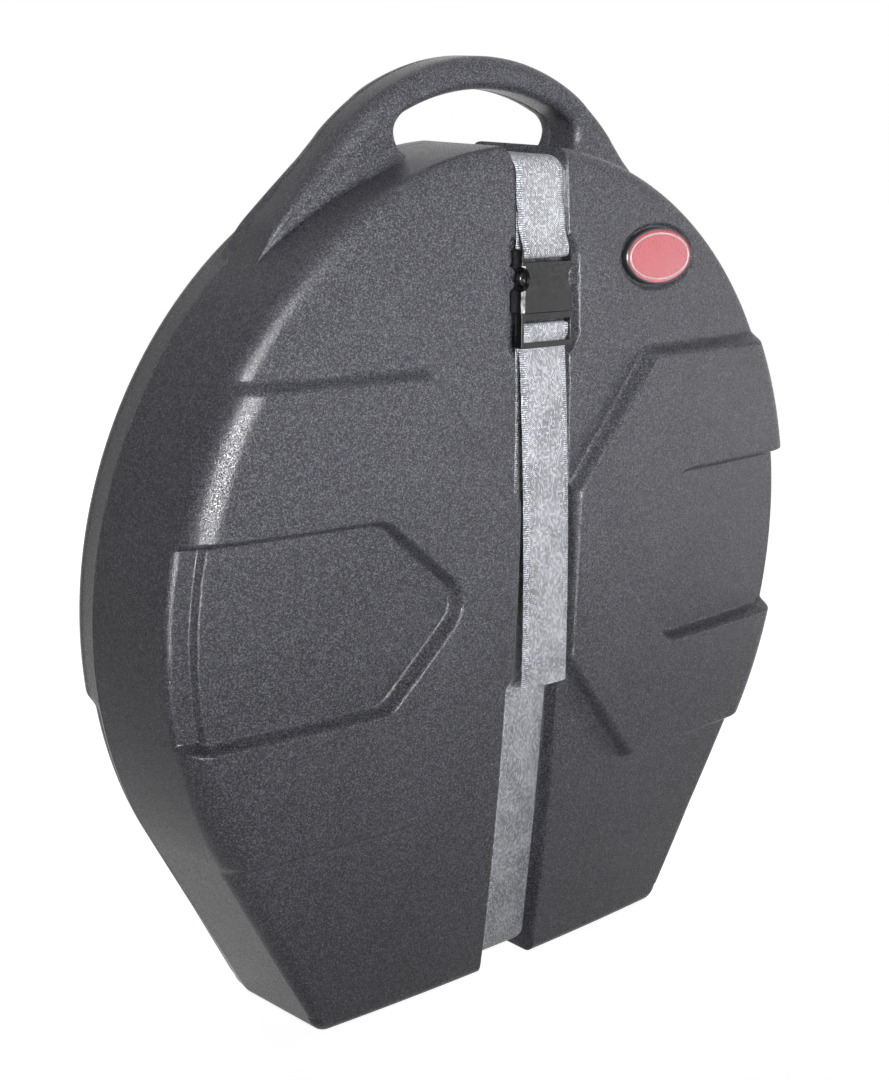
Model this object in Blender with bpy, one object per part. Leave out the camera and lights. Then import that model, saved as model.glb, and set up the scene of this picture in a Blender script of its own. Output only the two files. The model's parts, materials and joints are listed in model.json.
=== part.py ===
"""Hard moulded case for drum cymbals, closed by one strap with a side release buckle.

The case stands on its flat foot. X runs to its right, Y from front to back and Z up. The origin is on the
floor, under the middle of the whole object. Lengths are in metres. The shapes are first laid out from the
plane of the front rim, and place() moves them to the origin.
"""

import math

import bmesh
import bpy
from mathutils import Vector
from mathutils.geometry import delaunay_2d_cdt, tessellate_polygon

# Case outline, seen from the front
CASE_RADIUS = 0.300
FOOT_CUT = 0.0037
CASE_CENTRE_Z = CASE_RADIUS - FOOT_CUT
CASE_TOP_Z = CASE_CENTRE_Z + CASE_RADIUS
FOOT_HALF_WIDTH = 0.173
FOOT_CORNER_RADIUS = 0.013
ARC_STEPS = 48
CORNER_STEPS = 4

# Shell walls
WALL = 0.005
SEAM_Y = 0.076
SIDE_DRAFT = 0.005
EDGE_RADIUS = 0.012
FOOT_EDGE_RADIUS = 0.007
FOOT_EDGE_FROM_Z = 0.015
FOOT_EDGE_BLEND = 0.060
PAD_EDGE_RADIUS = 0.019
LEDGE_EDGE_RADIUS = 0.005
FIT_GAP = 0.0003
OVERRUN = 0.02
WALL_SHIFT_SHARE = 0.5
DOME_RING_SHARES = (0.3, 0.6, 0.85)
DOME_RING_STEPS = 20
RAMP_SHARES = ((0.0, 0.0), (0.3, 0.22), (0.7, 0.78), (1.0, 1.0))

# Front face
FRONT_DOME = 0.012
SWELL_RISE = 0.0175
SWELL_BELOW_CENTRE = 0.0338
SWELL_Z = CASE_CENTRE_Z - SWELL_BELOW_CENTRE
SWELL_PAST_RIM = 0.0136
SWELL_RADIUS = CASE_RADIUS + SWELL_PAST_RIM
PAD_RISE = 0.0107
PAD_WALL_WIDTH = 0.009
PAD_CORNER_RADIUS = 0.013
PAD_TOP_BELOW_TOP = 0.1393
PAD_TOP_Z = CASE_TOP_Z - PAD_TOP_BELOW_TOP
PAD_FOOT_BELOW_CENTRE = 0.1568
PAD_FOOT_Z = CASE_CENTRE_Z - PAD_FOOT_BELOW_CENTRE
PAD_TOP_INNER_X = 0.107
PAD_FOOT_INNER_X = 0.104
PAD_GROOVE_X = 0.0230
PAD_SIDE_TOP_ABOVE_CENTRE = 0.0657
PAD_SIDE_TOP_Z = CASE_CENTRE_Z + PAD_SIDE_TOP_ABOVE_CENTRE
PAD_SIDE_FOOT_BELOW_CENTRE = 0.0622
PAD_SIDE_FOOT_Z = CASE_CENTRE_Z - PAD_SIDE_FOOT_BELOW_CENTRE
PAST_RIM = 0.050
PAST_RIM_X = CASE_RADIUS + PAST_RIM
RECESS_WALL_WIDTH = 0.007
RECESS_CORNER_RADIUS = 0.024
RECESS_TOP_ABOVE_CENTRE = 0.0672
RECESS_TOP_Z = CASE_CENTRE_Z + RECESS_TOP_ABOVE_CENTRE
RECESS_FOOT_BELOW_CENTRE = 0.0678
RECESS_FOOT_Z = CASE_CENTRE_Z - RECESS_FOOT_BELOW_CENTRE
RECESS_TOP_X = 0.1468
RECESS_FOOT_X = 0.1408
RECESS_TIP_X = 0.0690
RECESS_TIP_ABOVE_CENTRE = 0.0031
RECESS_TIP_Z = CASE_CENTRE_Z + RECESS_TIP_ABOVE_CENTRE
LEDGE_DROP = 0.006
LEDGE_INNER_WIDTH = 0.019
LEDGE_OUTER_WIDTH = 0.0155

# Back face
BACK_RIM_Y = 0.099
BACK_DOME = 0.008
PANEL_RISE = 0.009
PANEL_WALL_WIDTH = 0.009
PANEL_CORNER_RADIUS = 0.013
PANEL_FOOT_BELOW_CENTRE = 0.0608
PANEL_FOOT_Z = CASE_CENTRE_Z - PANEL_FOOT_BELOW_CENTRE
PANEL_TOP_BELOW_TOP = 0.0303
PANEL_TOP_Z = CASE_TOP_Z - PANEL_TOP_BELOW_TOP
PANEL_SIDE_FOOT_ABOVE_CENTRE = 0.0287
PANEL_SIDE_FOOT_Z = CASE_CENTRE_Z + PANEL_SIDE_FOOT_ABOVE_CENTRE
PANEL_SIDE_TOP_BELOW_TOP = 0.0763
PANEL_SIDE_TOP_Z = CASE_TOP_Z - PANEL_SIDE_TOP_BELOW_TOP
PANEL_FOOT_INNER_X = 0.105
PANEL_TOP_INNER_X = 0.070
PANEL_GROOVE_X = 0.0265

# Strap groove, which runs round the case in its middle plane
GROOVE_DEPTH = 0.0045
GROOVE_HALF_WIDTH = 0.0270
GROOVE_FLOOR_HALF_WIDTH = 0.0245
GROOVE_STATIONS = 10
TOP_GROOVE_BELOW_TOP = 0.0083
TOP_GROOVE_Z = CASE_TOP_Z - TOP_GROOVE_BELOW_TOP
FOOT_GROOVE_Z = 0.010

# Place of the buckle on the case
MOUTH_BELOW_TOP = 0.1103
MOUTH_Z = CASE_TOP_Z - MOUTH_BELOW_TOP

# Well for the buckle
WELL_DEPTH = 0.0075
WELL_WALL_WIDTH = 0.005
WELL_HALF_WIDTH = 0.038
WELL_END_HALF_WIDTH = 0.030
WELL_TOP_ABOVE_MOUTH = 0.052
WELL_TOP_Z = MOUTH_Z + WELL_TOP_ABOVE_MOUTH
WELL_FOOT_BELOW_MOUTH = 0.031
WELL_FOOT_Z = MOUTH_Z - WELL_FOOT_BELOW_MOUTH
WELL_CHAMFER = 0.013
WELL_CORNER_RADIUS = 0.006

# Badge and its seat
BADGE_X = 0.1228
BADGE_BELOW_TOP = 0.0776
BADGE_Z = CASE_TOP_Z - BADGE_BELOW_TOP
BADGE_HALF_WIDTH = 0.0366
BADGE_HALF_HEIGHT = 0.0192
BADGE_BORDER = 0.0010
BADGE_HOLDER_THICKNESS = 0.0045
BADGE_PLATE_THICKNESS = 0.0018
BADGE_PLATE_INLET = 0.0008
SEAT_HALF_WIDTH = 0.0440
SEAT_HALF_HEIGHT = 0.0250
SEAT_WALL_WIDTH = 0.004
SEAT_DEPTH = 0.0035
BADGE_STEPS = 40

# Carrying handle
HOLE_FOOT_BELOW_TOP = 0.0033
HOLE_FOOT_Z = CASE_TOP_Z - HOLE_FOOT_BELOW_TOP
HOLE_TOP_ABOVE_TOP = 0.0347
HOLE_TOP_Z = CASE_TOP_Z + HOLE_TOP_ABOVE_TOP
HANDLE_GRIP = 0.022
HANDLE_RADIUS = 0.185
HANDLE_CENTRE_Z = HOLE_TOP_Z + HANDLE_GRIP - HANDLE_RADIUS
HANDLE_SHOULDER_ANGLE = 45.0
HANDLE_STEPS = 14
HANDLE_FRONT_Y = 0.049
HANDLE_BACK_Y = 0.089
HANDLE_EDGE_RADIUS = 0.012
HANDLE_FLANK_X = 0.190
HANDLE_END_X = 0.207
HANDLE_END_BELOW_TOP = 0.0883
HANDLE_END_Z = CASE_TOP_Z - HANDLE_END_BELOW_TOP
HANDLE_ROOT_X = 0.190
HANDLE_ROOT_BELOW_TOP = 0.1463
HANDLE_ROOT_Z = CASE_TOP_Z - HANDLE_ROOT_BELOW_TOP
HOLE_HALF_WIDTH = 0.086
HOLE_ARC_RADIUS = 0.190
HOLE_CORNER_RADIUS = 0.006
HOLE_CHAMFER = 0.007
HOLE_ARC_SHARES = (0.92, 0.62, 0.31, 0.0, -0.31, -0.62, -0.92)
HOLE_EDGE_RADIUS = 0.008
EDGE_ANGLES = (0.0, 30.0, 60.0, 90.0)

# Tongue of the back shell and its rebate in the front shell
TONGUE_THICKNESS = 0.0022
TONGUE_HEIGHT = 0.006

# Foam
FOAM_MARGIN = 0.030
FOAM_RADIUS = CASE_RADIUS - FOAM_MARGIN
FRONT_FOAM_THICKNESS = 0.012
BACK_FOAM_THICKNESS = 0.012
FOAM_HOLE_RADIUS = 0.036
FOAM_STEPS = 60

# Post that carries the cymbals
POST_RADIUS = 0.004
POST_LENGTH = 0.066
POST_STEPS = 24
FLANGE_RADIUS = 0.030
FLANGE_THICKNESS = 0.003
BOSS_RADIUS = 0.009
BOSS_HEIGHT = 0.0045
FLANGE_SCREW_CIRCLE = 0.021
FLANGE_SCREW_COUNT = 4
SCREW_RADIUS = 0.002
SCREW_HEAD_RADIUS = 0.0038
SCREW_HEAD_HEIGHT = 0.002
SCREW_DEPTH = 0.0035
SCREW_STEPS = 16
CUP_RADIUS = 0.019
CUP_THICKNESS = 0.0025
FELT_RADIUS = 0.018
LOWER_FELT_THICKNESS = 0.008
UPPER_FELT_THICKNESS = 0.006
WASHER_RADIUS = 0.012
WASHER_THICKNESS = 0.0016
RUNNING_GAP = 0.0003
NUT_HUB_RADIUS = 0.0075
NUT_HUB_HEIGHT = 0.009
NUT_TAPER_SHARE = 0.85
NUT_WING_SPAN = 0.019
NUT_WING_HEIGHT = 0.015
NUT_WING_THICKNESS = 0.003
NUT_WING_ROOT_HEIGHT = 0.0075

# Webbing
STRAP_HALF_WIDTH = 0.0225
STRAP_THICKNESS = 0.0016
BEND_STEPS = 4
STRAP_STATIONS = 8
TAIL_END_BELOW_CENTRE = 0.0720
TAIL_END_Z = CASE_CENTRE_Z - TAIL_END_BELOW_CENTRE
TAIL_END_RISE = 0.0275
TAIL_MIDDLE_ABOVE_CENTRE = 0.0607
TAIL_MIDDLE_Z = CASE_CENTRE_Z + TAIL_MIDDLE_ABOVE_CENTRE
TAIL_MIDDLE_RISE = 0.0200
TAIL_STEPS = 12
STITCH_U = 0.072

# Buckle, measured along the strap (u) from the socket's mouth and outward (w) from the groove's floor
SOCKET_HALF_WIDTH = 0.0250
SOCKET_LENGTH = 0.0335
SOCKET_BACK_W = -0.0026
SOCKET_FRONT_W = 0.0104
SOCKET_EDGE = 0.0020
CHANNEL_HALF_WIDTH = 0.0206
CHANNEL_BACK_W = 0.0006
CHANNEL_FRONT_W = 0.0074
CHANNEL_LENGTH = 0.0305
WINDOW_U = 0.0225
WINDOW_X = 0.0270
WINDOW_HALF_LENGTH = 0.0085
WINDOW_DEPTH = 0.0085
WINDOW_STEPS = 20
SOCKET_BAR_U = 0.0400
SOCKET_BAR_W = 0.0038
SOCKET_BAR_HALF = 0.0020
LUG_THICKNESS = 0.0018
LUG_BACK_W = 0.0004
LUG_FRONT_W = 0.0086
PLUG_HALF_WIDTH = 0.0252
PLUG_BACK_W = 0.0030
PLUG_FRONT_W = 0.0096
PLUG_LENGTH = 0.0240
PLUG_COLLAR = 0.0050
PLUG_EDGE = 0.0012
BOTTOM_BAR_HEIGHT = 0.0040
BOTTOM_BAR_BACK_W = 0.0060
MIDDLE_BAR_TOP_U = -0.0095
MIDDLE_BAR_FOOT_U = -0.0155
MIDDLE_BAR_BACK_W = 0.0041
MIDDLE_BAR_FRONT_W = 0.0065
TONGUE_GUIDE_HALF_WIDTH = 0.0045
TONGUE_GUIDE_LENGTH = 0.0260
GUIDE_BACK_W = 0.0024
GUIDE_FRONT_W = 0.0066
PRONG_ROOT_X = 0.0150
PRONG_ROOT_U = 0.0010
PRONG_INNER_X = 0.0125
PRONG_OUTER_X = 0.0170
BUTTON_DEPTH = 0.0073
BUTTON_HALF_LENGTH = 0.0060
BUTTON_START_ANGLE = -60.0
BUTTON_END_ANGLE = 86.0
PRONG_STEPS = 8

MIDDLE_Y = (BACK_RIM_Y + BACK_DOME + PANEL_RISE - TAIL_END_RISE - STRAP_THICKNESS / 2) / 2

SHELL_COLOUR = (0.062, 0.062, 0.068, 1.0)
FOAM_COLOUR = (0.020, 0.020, 0.022, 1.0)
STRAP_COLOUR = (0.42, 0.43, 0.47, 1.0)
BUCKLE_COLOUR = (0.012, 0.012, 0.013, 1.0)
BADGE_COLOUR = (0.62, 0.05, 0.08, 1.0)
STEEL_COLOUR = (0.55, 0.55, 0.56, 1.0)
FELT_COLOUR = (0.05, 0.05, 0.055, 1.0)


def clear_scene():
    for item in list(bpy.data.objects):
        bpy.data.objects.remove(item)


def material(name, colour, roughness, metallic=0.0):
    found = bpy.data.materials.get(name)
    if found:
        return found
    made = bpy.data.materials.new(name)
    made.use_nodes = True
    shader = made.node_tree.nodes["Principled BSDF"]
    shader.inputs["Base Color"].default_value = colour
    shader.inputs["Roughness"].default_value = roughness
    shader.inputs["Metallic"].default_value = metallic
    return made


def shell_plastic():
    return material("shell_plastic", SHELL_COLOUR, 0.5)


def foam_material():
    return material("foam", FOAM_COLOUR, 0.95)


def webbing_material():
    return material("webbing", STRAP_COLOUR, 0.8)


def buckle_plastic():
    return material("buckle_plastic", BUCKLE_COLOUR, 0.25)


def steel_material():
    return material("steel", STEEL_COLOUR, 0.35, 1.0)


def felt_material():
    return material("felt", FELT_COLOUR, 0.95)


# Small helpers for numbers


def blend(low, high, share):
    return low + (high - low) * share


def ramp(depth, width):
    """0 outside, 1 past the width, and an S in short straight runs between, which the contours follow."""
    share = min(max(depth / width, 0.0), 1.0)
    for (x0, y0), (x1, y1) in zip(RAMP_SHARES, RAMP_SHARES[1:]):
        if share <= x1:
            return blend(y0, y1, (share - x0) / (x1 - x0))
    return 1.0


def straight_ramp(depth, width):
    return min(max(depth / width, 0.0), 1.0)


def round_over(depth, radius):
    """How far a rounded edge has dropped, at a depth inside it."""
    if depth >= radius:
        return 0.0
    depth = max(depth, 0.0)
    return radius - math.sqrt(radius * radius - (radius - depth) ** 2)


# Outlines in the plane of the face, as (x, z) points that run counter-clockwise


def shrink(corners, inset):
    """The convex polygon moved inward by the inset, corner by corner."""
    count = len(corners)
    moved = []
    for index in range(count):
        before, here, after = corners[index - 1], corners[index], corners[(index + 1) % count]
        first = Vector((here[0] - before[0], here[1] - before[1])).normalized()
        second = Vector((after[0] - here[0], after[1] - here[1])).normalized()
        normal_a, normal_b = Vector((-first.y, first.x)), Vector((-second.y, second.x))
        mitre = (normal_a + normal_b) / (1 + normal_a.dot(normal_b))
        moved.append((here[0] + mitre.x * inset, here[1] + mitre.y * inset))
    return moved


class RoundedOutline:
    """A convex polygon with round corners, with its inner contours and the depth of any point inside it."""

    def __init__(self, corners, radius, steps=3):
        self.corners = corners
        self.radius = radius
        self.steps = steps
        self.core = shrink(corners, radius)

    def contour(self, inset):
        if inset >= self.radius:
            return shrink(self.corners, inset)
        points = []
        count = len(self.core)
        for index in range(count):
            before, here, after = self.core[index - 1], self.core[index], self.core[(index + 1) % count]
            start = math.atan2(here[1] - before[1], here[0] - before[0]) - math.pi / 2
            turn = math.atan2(after[1] - here[1], after[0] - here[0]) - math.pi / 2 - start
            turn = (turn + math.pi) % math.tau - math.pi
            for step in range(self.steps + 1):
                angle = start + turn * step / self.steps
                reach = self.radius - inset
                points.append((here[0] + reach * math.cos(angle), here[1] + reach * math.sin(angle)))
        return points

    def depth(self, x, z):
        inner = None
        nearest = None
        count = len(self.core)
        for index in range(count):
            a, b = self.core[index], self.core[(index + 1) % count]
            run = Vector((b[0] - a[0], b[1] - a[1]))
            off = Vector((x - a[0], z - a[1]))
            side = (run.x * off.y - run.y * off.x) / run.length
            share = min(max(run.dot(off) / run.length_squared, 0.0), 1.0)
            gap = (off - run * share).length
            inner = side if inner is None else min(inner, side)
            nearest = gap if nearest is None else min(nearest, gap)
        return self.radius + (inner if inner >= 0 else -nearest)


class EllipseOutline:
    """An ellipse, with the same contour and depth methods as RoundedOutline."""

    def __init__(self, centre, half_width, half_height, steps):
        self.centre = centre
        self.half_width = half_width
        self.half_height = half_height
        self.steps = steps

    def contour(self, inset):
        share = 1 - inset / self.half_height
        points = []
        for step in range(self.steps):
            angle = math.tau * step / self.steps
            x = self.centre[0] + self.half_width * share * math.cos(angle)
            points.append((x, self.centre[1] + self.half_height * share * math.sin(angle)))
        return points

    def depth(self, x, z):
        across = (x - self.centre[0]) / self.half_width
        up = (z - self.centre[1]) / self.half_height
        return (1 - math.hypot(across, up)) * self.half_height


class CaseOutline:
    """The round case with its flat foot and the straight flanks that join them."""

    def __init__(self):
        reach = math.hypot(FOOT_HALF_WIDTH, CASE_CENTRE_Z)
        to_corner = math.atan2(-CASE_CENTRE_Z, FOOT_HALF_WIDTH)
        self.tangent = to_corner + math.acos(CASE_RADIUS / reach)
        self.step = (math.pi - 2 * self.tangent) / ARC_STEPS
        self.normal = (math.cos(self.tangent), math.sin(self.tangent))
        self.round_centre = self.corner(FOOT_CORNER_RADIUS)

    def corner(self, inset):
        """Where the flank and the foot meet when both have moved in."""
        reach = CASE_RADIUS - inset
        across = (reach - (inset - CASE_CENTRE_Z) * self.normal[1]) / self.normal[0]
        return (across, inset)

    def contour(self, inset):
        radius = CASE_RADIUS - inset
        points = []
        for index in range(ARC_STEPS + 1):
            angle = self.tangent + self.step * index
            points.append((radius * math.cos(angle), CASE_CENTRE_Z + radius * math.sin(angle)))
        right = self.foot_corner(inset)
        left = [(-x, z) for x, z in reversed(right)]
        return points + left + right

    def foot_corner(self, inset):
        if inset >= FOOT_CORNER_RADIUS:
            return [self.corner(inset)]
        reach = FOOT_CORNER_RADIUS - inset
        points = []
        for index in range(CORNER_STEPS + 1):
            angle = blend(-math.pi / 2, self.tangent, index / CORNER_STEPS)
            points.append(
                (self.round_centre[0] + reach * math.cos(angle), self.round_centre[1] + reach * math.sin(angle))
            )
        return points

    def depth(self, x, z):
        """Distance inside the outline, measured to the chords that draw its arc."""
        x = abs(x)
        angle = math.atan2(z - CASE_CENTRE_Z, x)
        if angle >= self.tangent:
            index = math.floor((angle - self.tangent) / self.step)
            middle = self.tangent + (index + 0.5) * self.step
            chord = math.hypot(x, z - CASE_CENTRE_Z) * math.cos(angle - middle)
            round_depth = CASE_RADIUS - chord / math.cos(self.step / 2)
        else:
            round_depth = CASE_RADIUS - (x * self.normal[0] + (z - CASE_CENTRE_Z) * self.normal[1])
        beyond_x, beyond_z = x - self.round_centre[0], self.round_centre[1] - z
        along = beyond_x * self.normal[0] + (z - self.round_centre[1]) * self.normal[1]
        if beyond_z > 0 and along > 0 and beyond_x > 0:
            return FOOT_CORNER_RADIUS - math.hypot(beyond_x, beyond_z)
        return min(round_depth, z)


CASE = CaseOutline()


def mirrored(points):
    return [(-x, z) for x, z in reversed(points)]


PAD = RoundedOutline(
    [
        (PAST_RIM_X, PAD_FOOT_Z),
        (PAST_RIM_X, PAD_TOP_Z),
        (PAD_TOP_INNER_X, PAD_TOP_Z),
        (PAD_GROOVE_X, PAD_SIDE_TOP_Z),
        (PAD_GROOVE_X, PAD_SIDE_FOOT_Z),
        (PAD_FOOT_INNER_X, PAD_FOOT_Z),
    ],
    PAD_CORNER_RADIUS,
)
RECESS = RoundedOutline(
    [
        (PAST_RIM_X, RECESS_FOOT_Z),
        (PAST_RIM_X, RECESS_TOP_Z),
        (RECESS_TOP_X, RECESS_TOP_Z),
        (RECESS_TIP_X, RECESS_TIP_Z),
        (RECESS_FOOT_X, RECESS_FOOT_Z),
    ],
    RECESS_CORNER_RADIUS,
)
PANEL = RoundedOutline(
    [
        (PAST_RIM_X, PANEL_FOOT_Z),
        (PAST_RIM_X, PANEL_TOP_Z),
        (PANEL_TOP_INNER_X, PANEL_TOP_Z),
        (PANEL_GROOVE_X, PANEL_SIDE_TOP_Z),
        (PANEL_GROOVE_X, PANEL_SIDE_FOOT_Z),
        (PANEL_FOOT_INNER_X, PANEL_FOOT_Z),
    ],
    PANEL_CORNER_RADIUS,
)
WELL = RoundedOutline(
    [
        (WELL_END_HALF_WIDTH, WELL_FOOT_Z),
        (WELL_HALF_WIDTH, WELL_FOOT_Z + WELL_CHAMFER),
        (WELL_HALF_WIDTH, WELL_TOP_Z - WELL_CHAMFER),
        (WELL_END_HALF_WIDTH, WELL_TOP_Z),
        (-WELL_END_HALF_WIDTH, WELL_TOP_Z),
        (-WELL_HALF_WIDTH, WELL_TOP_Z - WELL_CHAMFER),
        (-WELL_HALF_WIDTH, WELL_FOOT_Z + WELL_CHAMFER),
        (-WELL_END_HALF_WIDTH, WELL_FOOT_Z),
    ],
    WELL_CORNER_RADIUS,
    1,
)
SEAT = EllipseOutline((BADGE_X, BADGE_Z), SEAT_HALF_WIDTH, SEAT_HALF_HEIGHT, BADGE_STEPS // 2)


# Faces of the shells, as a rise above the plane of the rim


def dome(x, z, rise):
    away = (x * x + (z - CASE_CENTRE_Z) ** 2) / CASE_RADIUS**2
    return rise * max(1 - away, 0.0)


def swell(x, z):
    """Rise of the lid's face, whose highest point lies below the middle of the case."""
    away = (x * x + (z - SWELL_Z) ** 2) / SWELL_RADIUS**2
    return SWELL_RISE * (1 - away)


def edge_radius(z):
    """Radius of the rim's rounded edge, which grows tighter towards the foot."""
    share = min(max((z - FOOT_EDGE_FROM_Z) / FOOT_EDGE_BLEND, 0.0), 1.0)
    return blend(FOOT_EDGE_RADIUS, EDGE_RADIUS, share)


def groove_rise(x, z, rise, wall):
    """The strap groove's floor, which rounds over into the grooves of the top and the foot."""
    to_end = min(TOP_GROOVE_Z - wall - z, z - FOOT_GROOVE_Z - wall)
    return dome(x, z, rise) - GROOVE_DEPTH - round_over(to_end, EDGE_RADIUS - wall)


def groove_share(x, wall):
    width = GROOVE_HALF_WIDTH - GROOVE_FLOOR_HALF_WIDTH
    return straight_ramp(GROOVE_HALF_WIDTH + wall - abs(x), width)


def front_rise(x, z, wall):
    """Rise of the front face, or of its inner side when wall is the wall's thickness."""
    shift = wall * WALL_SHIFT_SHARE
    edge = CASE.depth(x, z)
    pad = ramp(PAD.depth(abs(x), z) - shift, PAD_WALL_WIDTH)
    recess = ramp(RECESS.depth(abs(x), z) + shift, RECESS_WALL_WIDTH)
    ledge = straight_ramp(LEDGE_INNER_WIDTH + wall - edge, LEDGE_INNER_WIDTH - LEDGE_OUTER_WIDTH)
    radius = blend(edge_radius(z), PAD_EDGE_RADIUS, pad)
    radius = max(blend(radius, LEDGE_EDGE_RADIUS, recess) - wall, FIT_GAP)
    rise = swell(x, z) + PAD_RISE * pad * (1 - recess) - LEDGE_DROP * recess * ledge
    rise -= round_over(edge - wall, radius)
    rise = blend(rise, groove_rise(x, z, FRONT_DOME, wall), groove_share(x, wall))
    well = straight_ramp(WELL.depth(x, z) + shift, WELL_WALL_WIDTH)
    rise = blend(rise, dome(x, z, FRONT_DOME) - WELL_DEPTH, well)
    return rise - SEAT_DEPTH * straight_ramp(SEAT.depth(x, z) + shift, SEAT_WALL_WIDTH) - wall


def back_rise(x, z, wall):
    """Rise of the back face above the plane of its rim, or of its inner side."""
    shift = wall * WALL_SHIFT_SHARE
    panel = ramp(PANEL.depth(abs(x), z) - shift, PANEL_WALL_WIDTH)
    rise = dome(x, z, BACK_DOME) + PANEL_RISE * panel
    rise -= round_over(CASE.depth(x, z) - wall, edge_radius(z) - wall)
    rise = blend(rise, groove_rise(x, z, BACK_DOME, wall), groove_share(x, wall))
    return rise - wall


def groove_lines(wall):
    """Straight lines along the groove and across its rounded ends."""
    lines = []
    reach = CASE_RADIUS + OVERRUN
    heights = [CASE_CENTRE_Z + reach * (2 * k / GROOVE_STATIONS - 1) for k in range(GROOVE_STATIONS + 1)]
    for half in (GROOVE_HALF_WIDTH + wall, GROOVE_FLOOR_HALF_WIDTH + wall):
        lines.append([(half, z) for z in heights])
        lines.append([(-half, z) for z in heights])
    half = GROOVE_HALF_WIDTH + wall
    for angle in EDGE_ANGLES:
        inset = (EDGE_RADIUS - wall) * (1 - math.cos(math.radians(angle)))
        for z in (TOP_GROOVE_Z - wall - inset, FOOT_GROOVE_Z + wall + inset):
            lines.append([(-half, z), (half, z)])
    return lines


def rim_insets(wall, radii):
    """Depths at which contours follow the rounded edge of the rim."""
    insets = {0.0}
    for radius in radii:
        for angle in EDGE_ANGLES[1:]:
            insets.add(round((radius - wall) * (1 - math.cos(math.radians(angle))), 5))
    kept = []
    for inset in sorted(insets):
        if not kept or inset - kept[-1] > EDGE_RADIUS / 10:
            kept.append(inset)
    return [wall + inset for inset in kept]


def ledge_lines(wall):
    """Arcs of the step inside the open end of each recess."""
    lines = []
    for inset in (LEDGE_OUTER_WIDTH + wall, LEDGE_INNER_WIDTH + wall):
        arc = [point for point in CASE.contour(inset) if point[0] > 0]
        arc = [point for point in arc if RECESS.depth(*point) > -PAD_WALL_WIDTH - wall]
        lines.append(arc)
        lines.append([(-x, z) for x, z in arc])
    return lines


def front_contours(wall):
    """Closed contours and open lines that the front face's mesh follows."""
    shift = wall * WALL_SHIFT_SHARE
    closed = [CASE.contour(inset) for inset in rim_insets(wall, (EDGE_RADIUS, PAD_EDGE_RADIUS))]
    for share, _ in RAMP_SHARES:
        pad = PAD.contour(share * PAD_WALL_WIDTH + shift)
        recess = RECESS.contour(share * RECESS_WALL_WIDTH - shift)
        closed += [pad, mirrored(pad), recess, mirrored(recess)]
    for outline, width in ((WELL, WELL_WALL_WIDTH), (SEAT, SEAT_WALL_WIDTH)):
        closed += [outline.contour(-shift), outline.contour(width - shift)]
    return closed, groove_lines(wall) + ledge_lines(wall)


def back_contours(wall):
    shift = wall * WALL_SHIFT_SHARE
    closed = [CASE.contour(inset) for inset in rim_insets(wall, (EDGE_RADIUS,))]
    for share, _ in RAMP_SHARES:
        panel = PANEL.contour(share * PANEL_WALL_WIDTH + shift)
        closed += [panel, mirrored(panel)]
    return closed, groove_lines(wall)


def dome_points():
    """A few points that carry the dome between the features."""
    points = []
    for share in DOME_RING_SHARES:
        for step in range(DOME_RING_STEPS):
            angle = math.tau * (step + 0.5) / DOME_RING_STEPS
            x = CASE_RADIUS * share * math.cos(angle)
            points.append((x, CASE_CENTRE_Z + CASE_RADIUS * share * math.sin(angle)))
    return points


# Meshes


def triangulate(closed, lines, points, wall):
    """Triangles over the case outline that follow every contour and line."""
    spots, edges = [], []
    for loop in closed:
        first = len(spots)
        spots += [Vector(point) for point in loop]
        edges += [(first + k, first + (k + 1) % len(loop)) for k in range(len(loop))]
    for line in lines:
        first = len(spots)
        spots += [Vector(point) for point in line]
        edges += [(first + k, first + k + 1) for k in range(len(line) - 1)]
    spots += [Vector(point) for point in points]
    found = delaunay_2d_cdt(spots, edges, [], 0, FIT_GAP / 2)
    flat, triangles = found[0], found[2]
    kept = []
    for triangle in triangles:
        x = sum(flat[k].x for k in triangle) / 3
        z = sum(flat[k].y for k in triangle) / 3
        if CASE.depth(x, z) > wall:
            kept.append(tuple(triangle))
    return flat, kept


def rim_loop(triangles):
    """The vertices of the outer edge, in order."""
    following = {}
    sides = set()
    for triangle in triangles:
        for k in range(3):
            sides.add((triangle[k], triangle[(k + 1) % 3]))
    for a, b in sides:
        if (b, a) not in sides:
            following[a] = b
    start = next(iter(following))
    loop = [start]
    while following[loop[-1]] != start:
        loop.append(following[loop[-1]])
    return loop


def face_solid(rise, contours, extra, wall, rim_y, facing, end_y):
    """A solid from a shell's face back to the plane end_y, its side growing wider up to the seam."""
    closed, lines = contours(wall)
    flat, triangles = triangulate(closed, lines, extra, wall)
    loop = rim_loop(triangles)
    rim = set(loop)
    mesh = bmesh.new()
    spots = {}
    for triangle in triangles:
        for index in triangle:
            if index in spots:
                continue
            x, z = flat[index]
            height = rise(x, z, wall)
            spots[index] = mesh.verts.new((x, rim_y + facing * height, z))
    for triangle in triangles:
        mesh.faces.new([spots[index] for index in triangle])
    half = CASE_RADIUS - wall
    growth = (half + SIDE_DRAFT) / half
    rings = [[spots[index] for index in loop]]
    for y in (SEAM_Y, end_y):
        if y == rings[-1][0].co.y:
            continue
        rings.append([mesh.verts.new((flat[k].x * growth, y, flat[k].y)) for k in loop])
    for near, far in zip(rings, rings[1:]):
        bridge(mesh, near, far)
    mesh.faces.new(rings[-1])
    return closed_mesh(mesh)


def bridge(mesh, near, far):
    count = len(near)
    for k in range(count):
        mesh.faces.new((near[k], near[(k + 1) % count], far[(k + 1) % count], far[k]))


def closed_mesh(mesh):
    bmesh.ops.recalc_face_normals(mesh, faces=mesh.faces)
    return mesh


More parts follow.
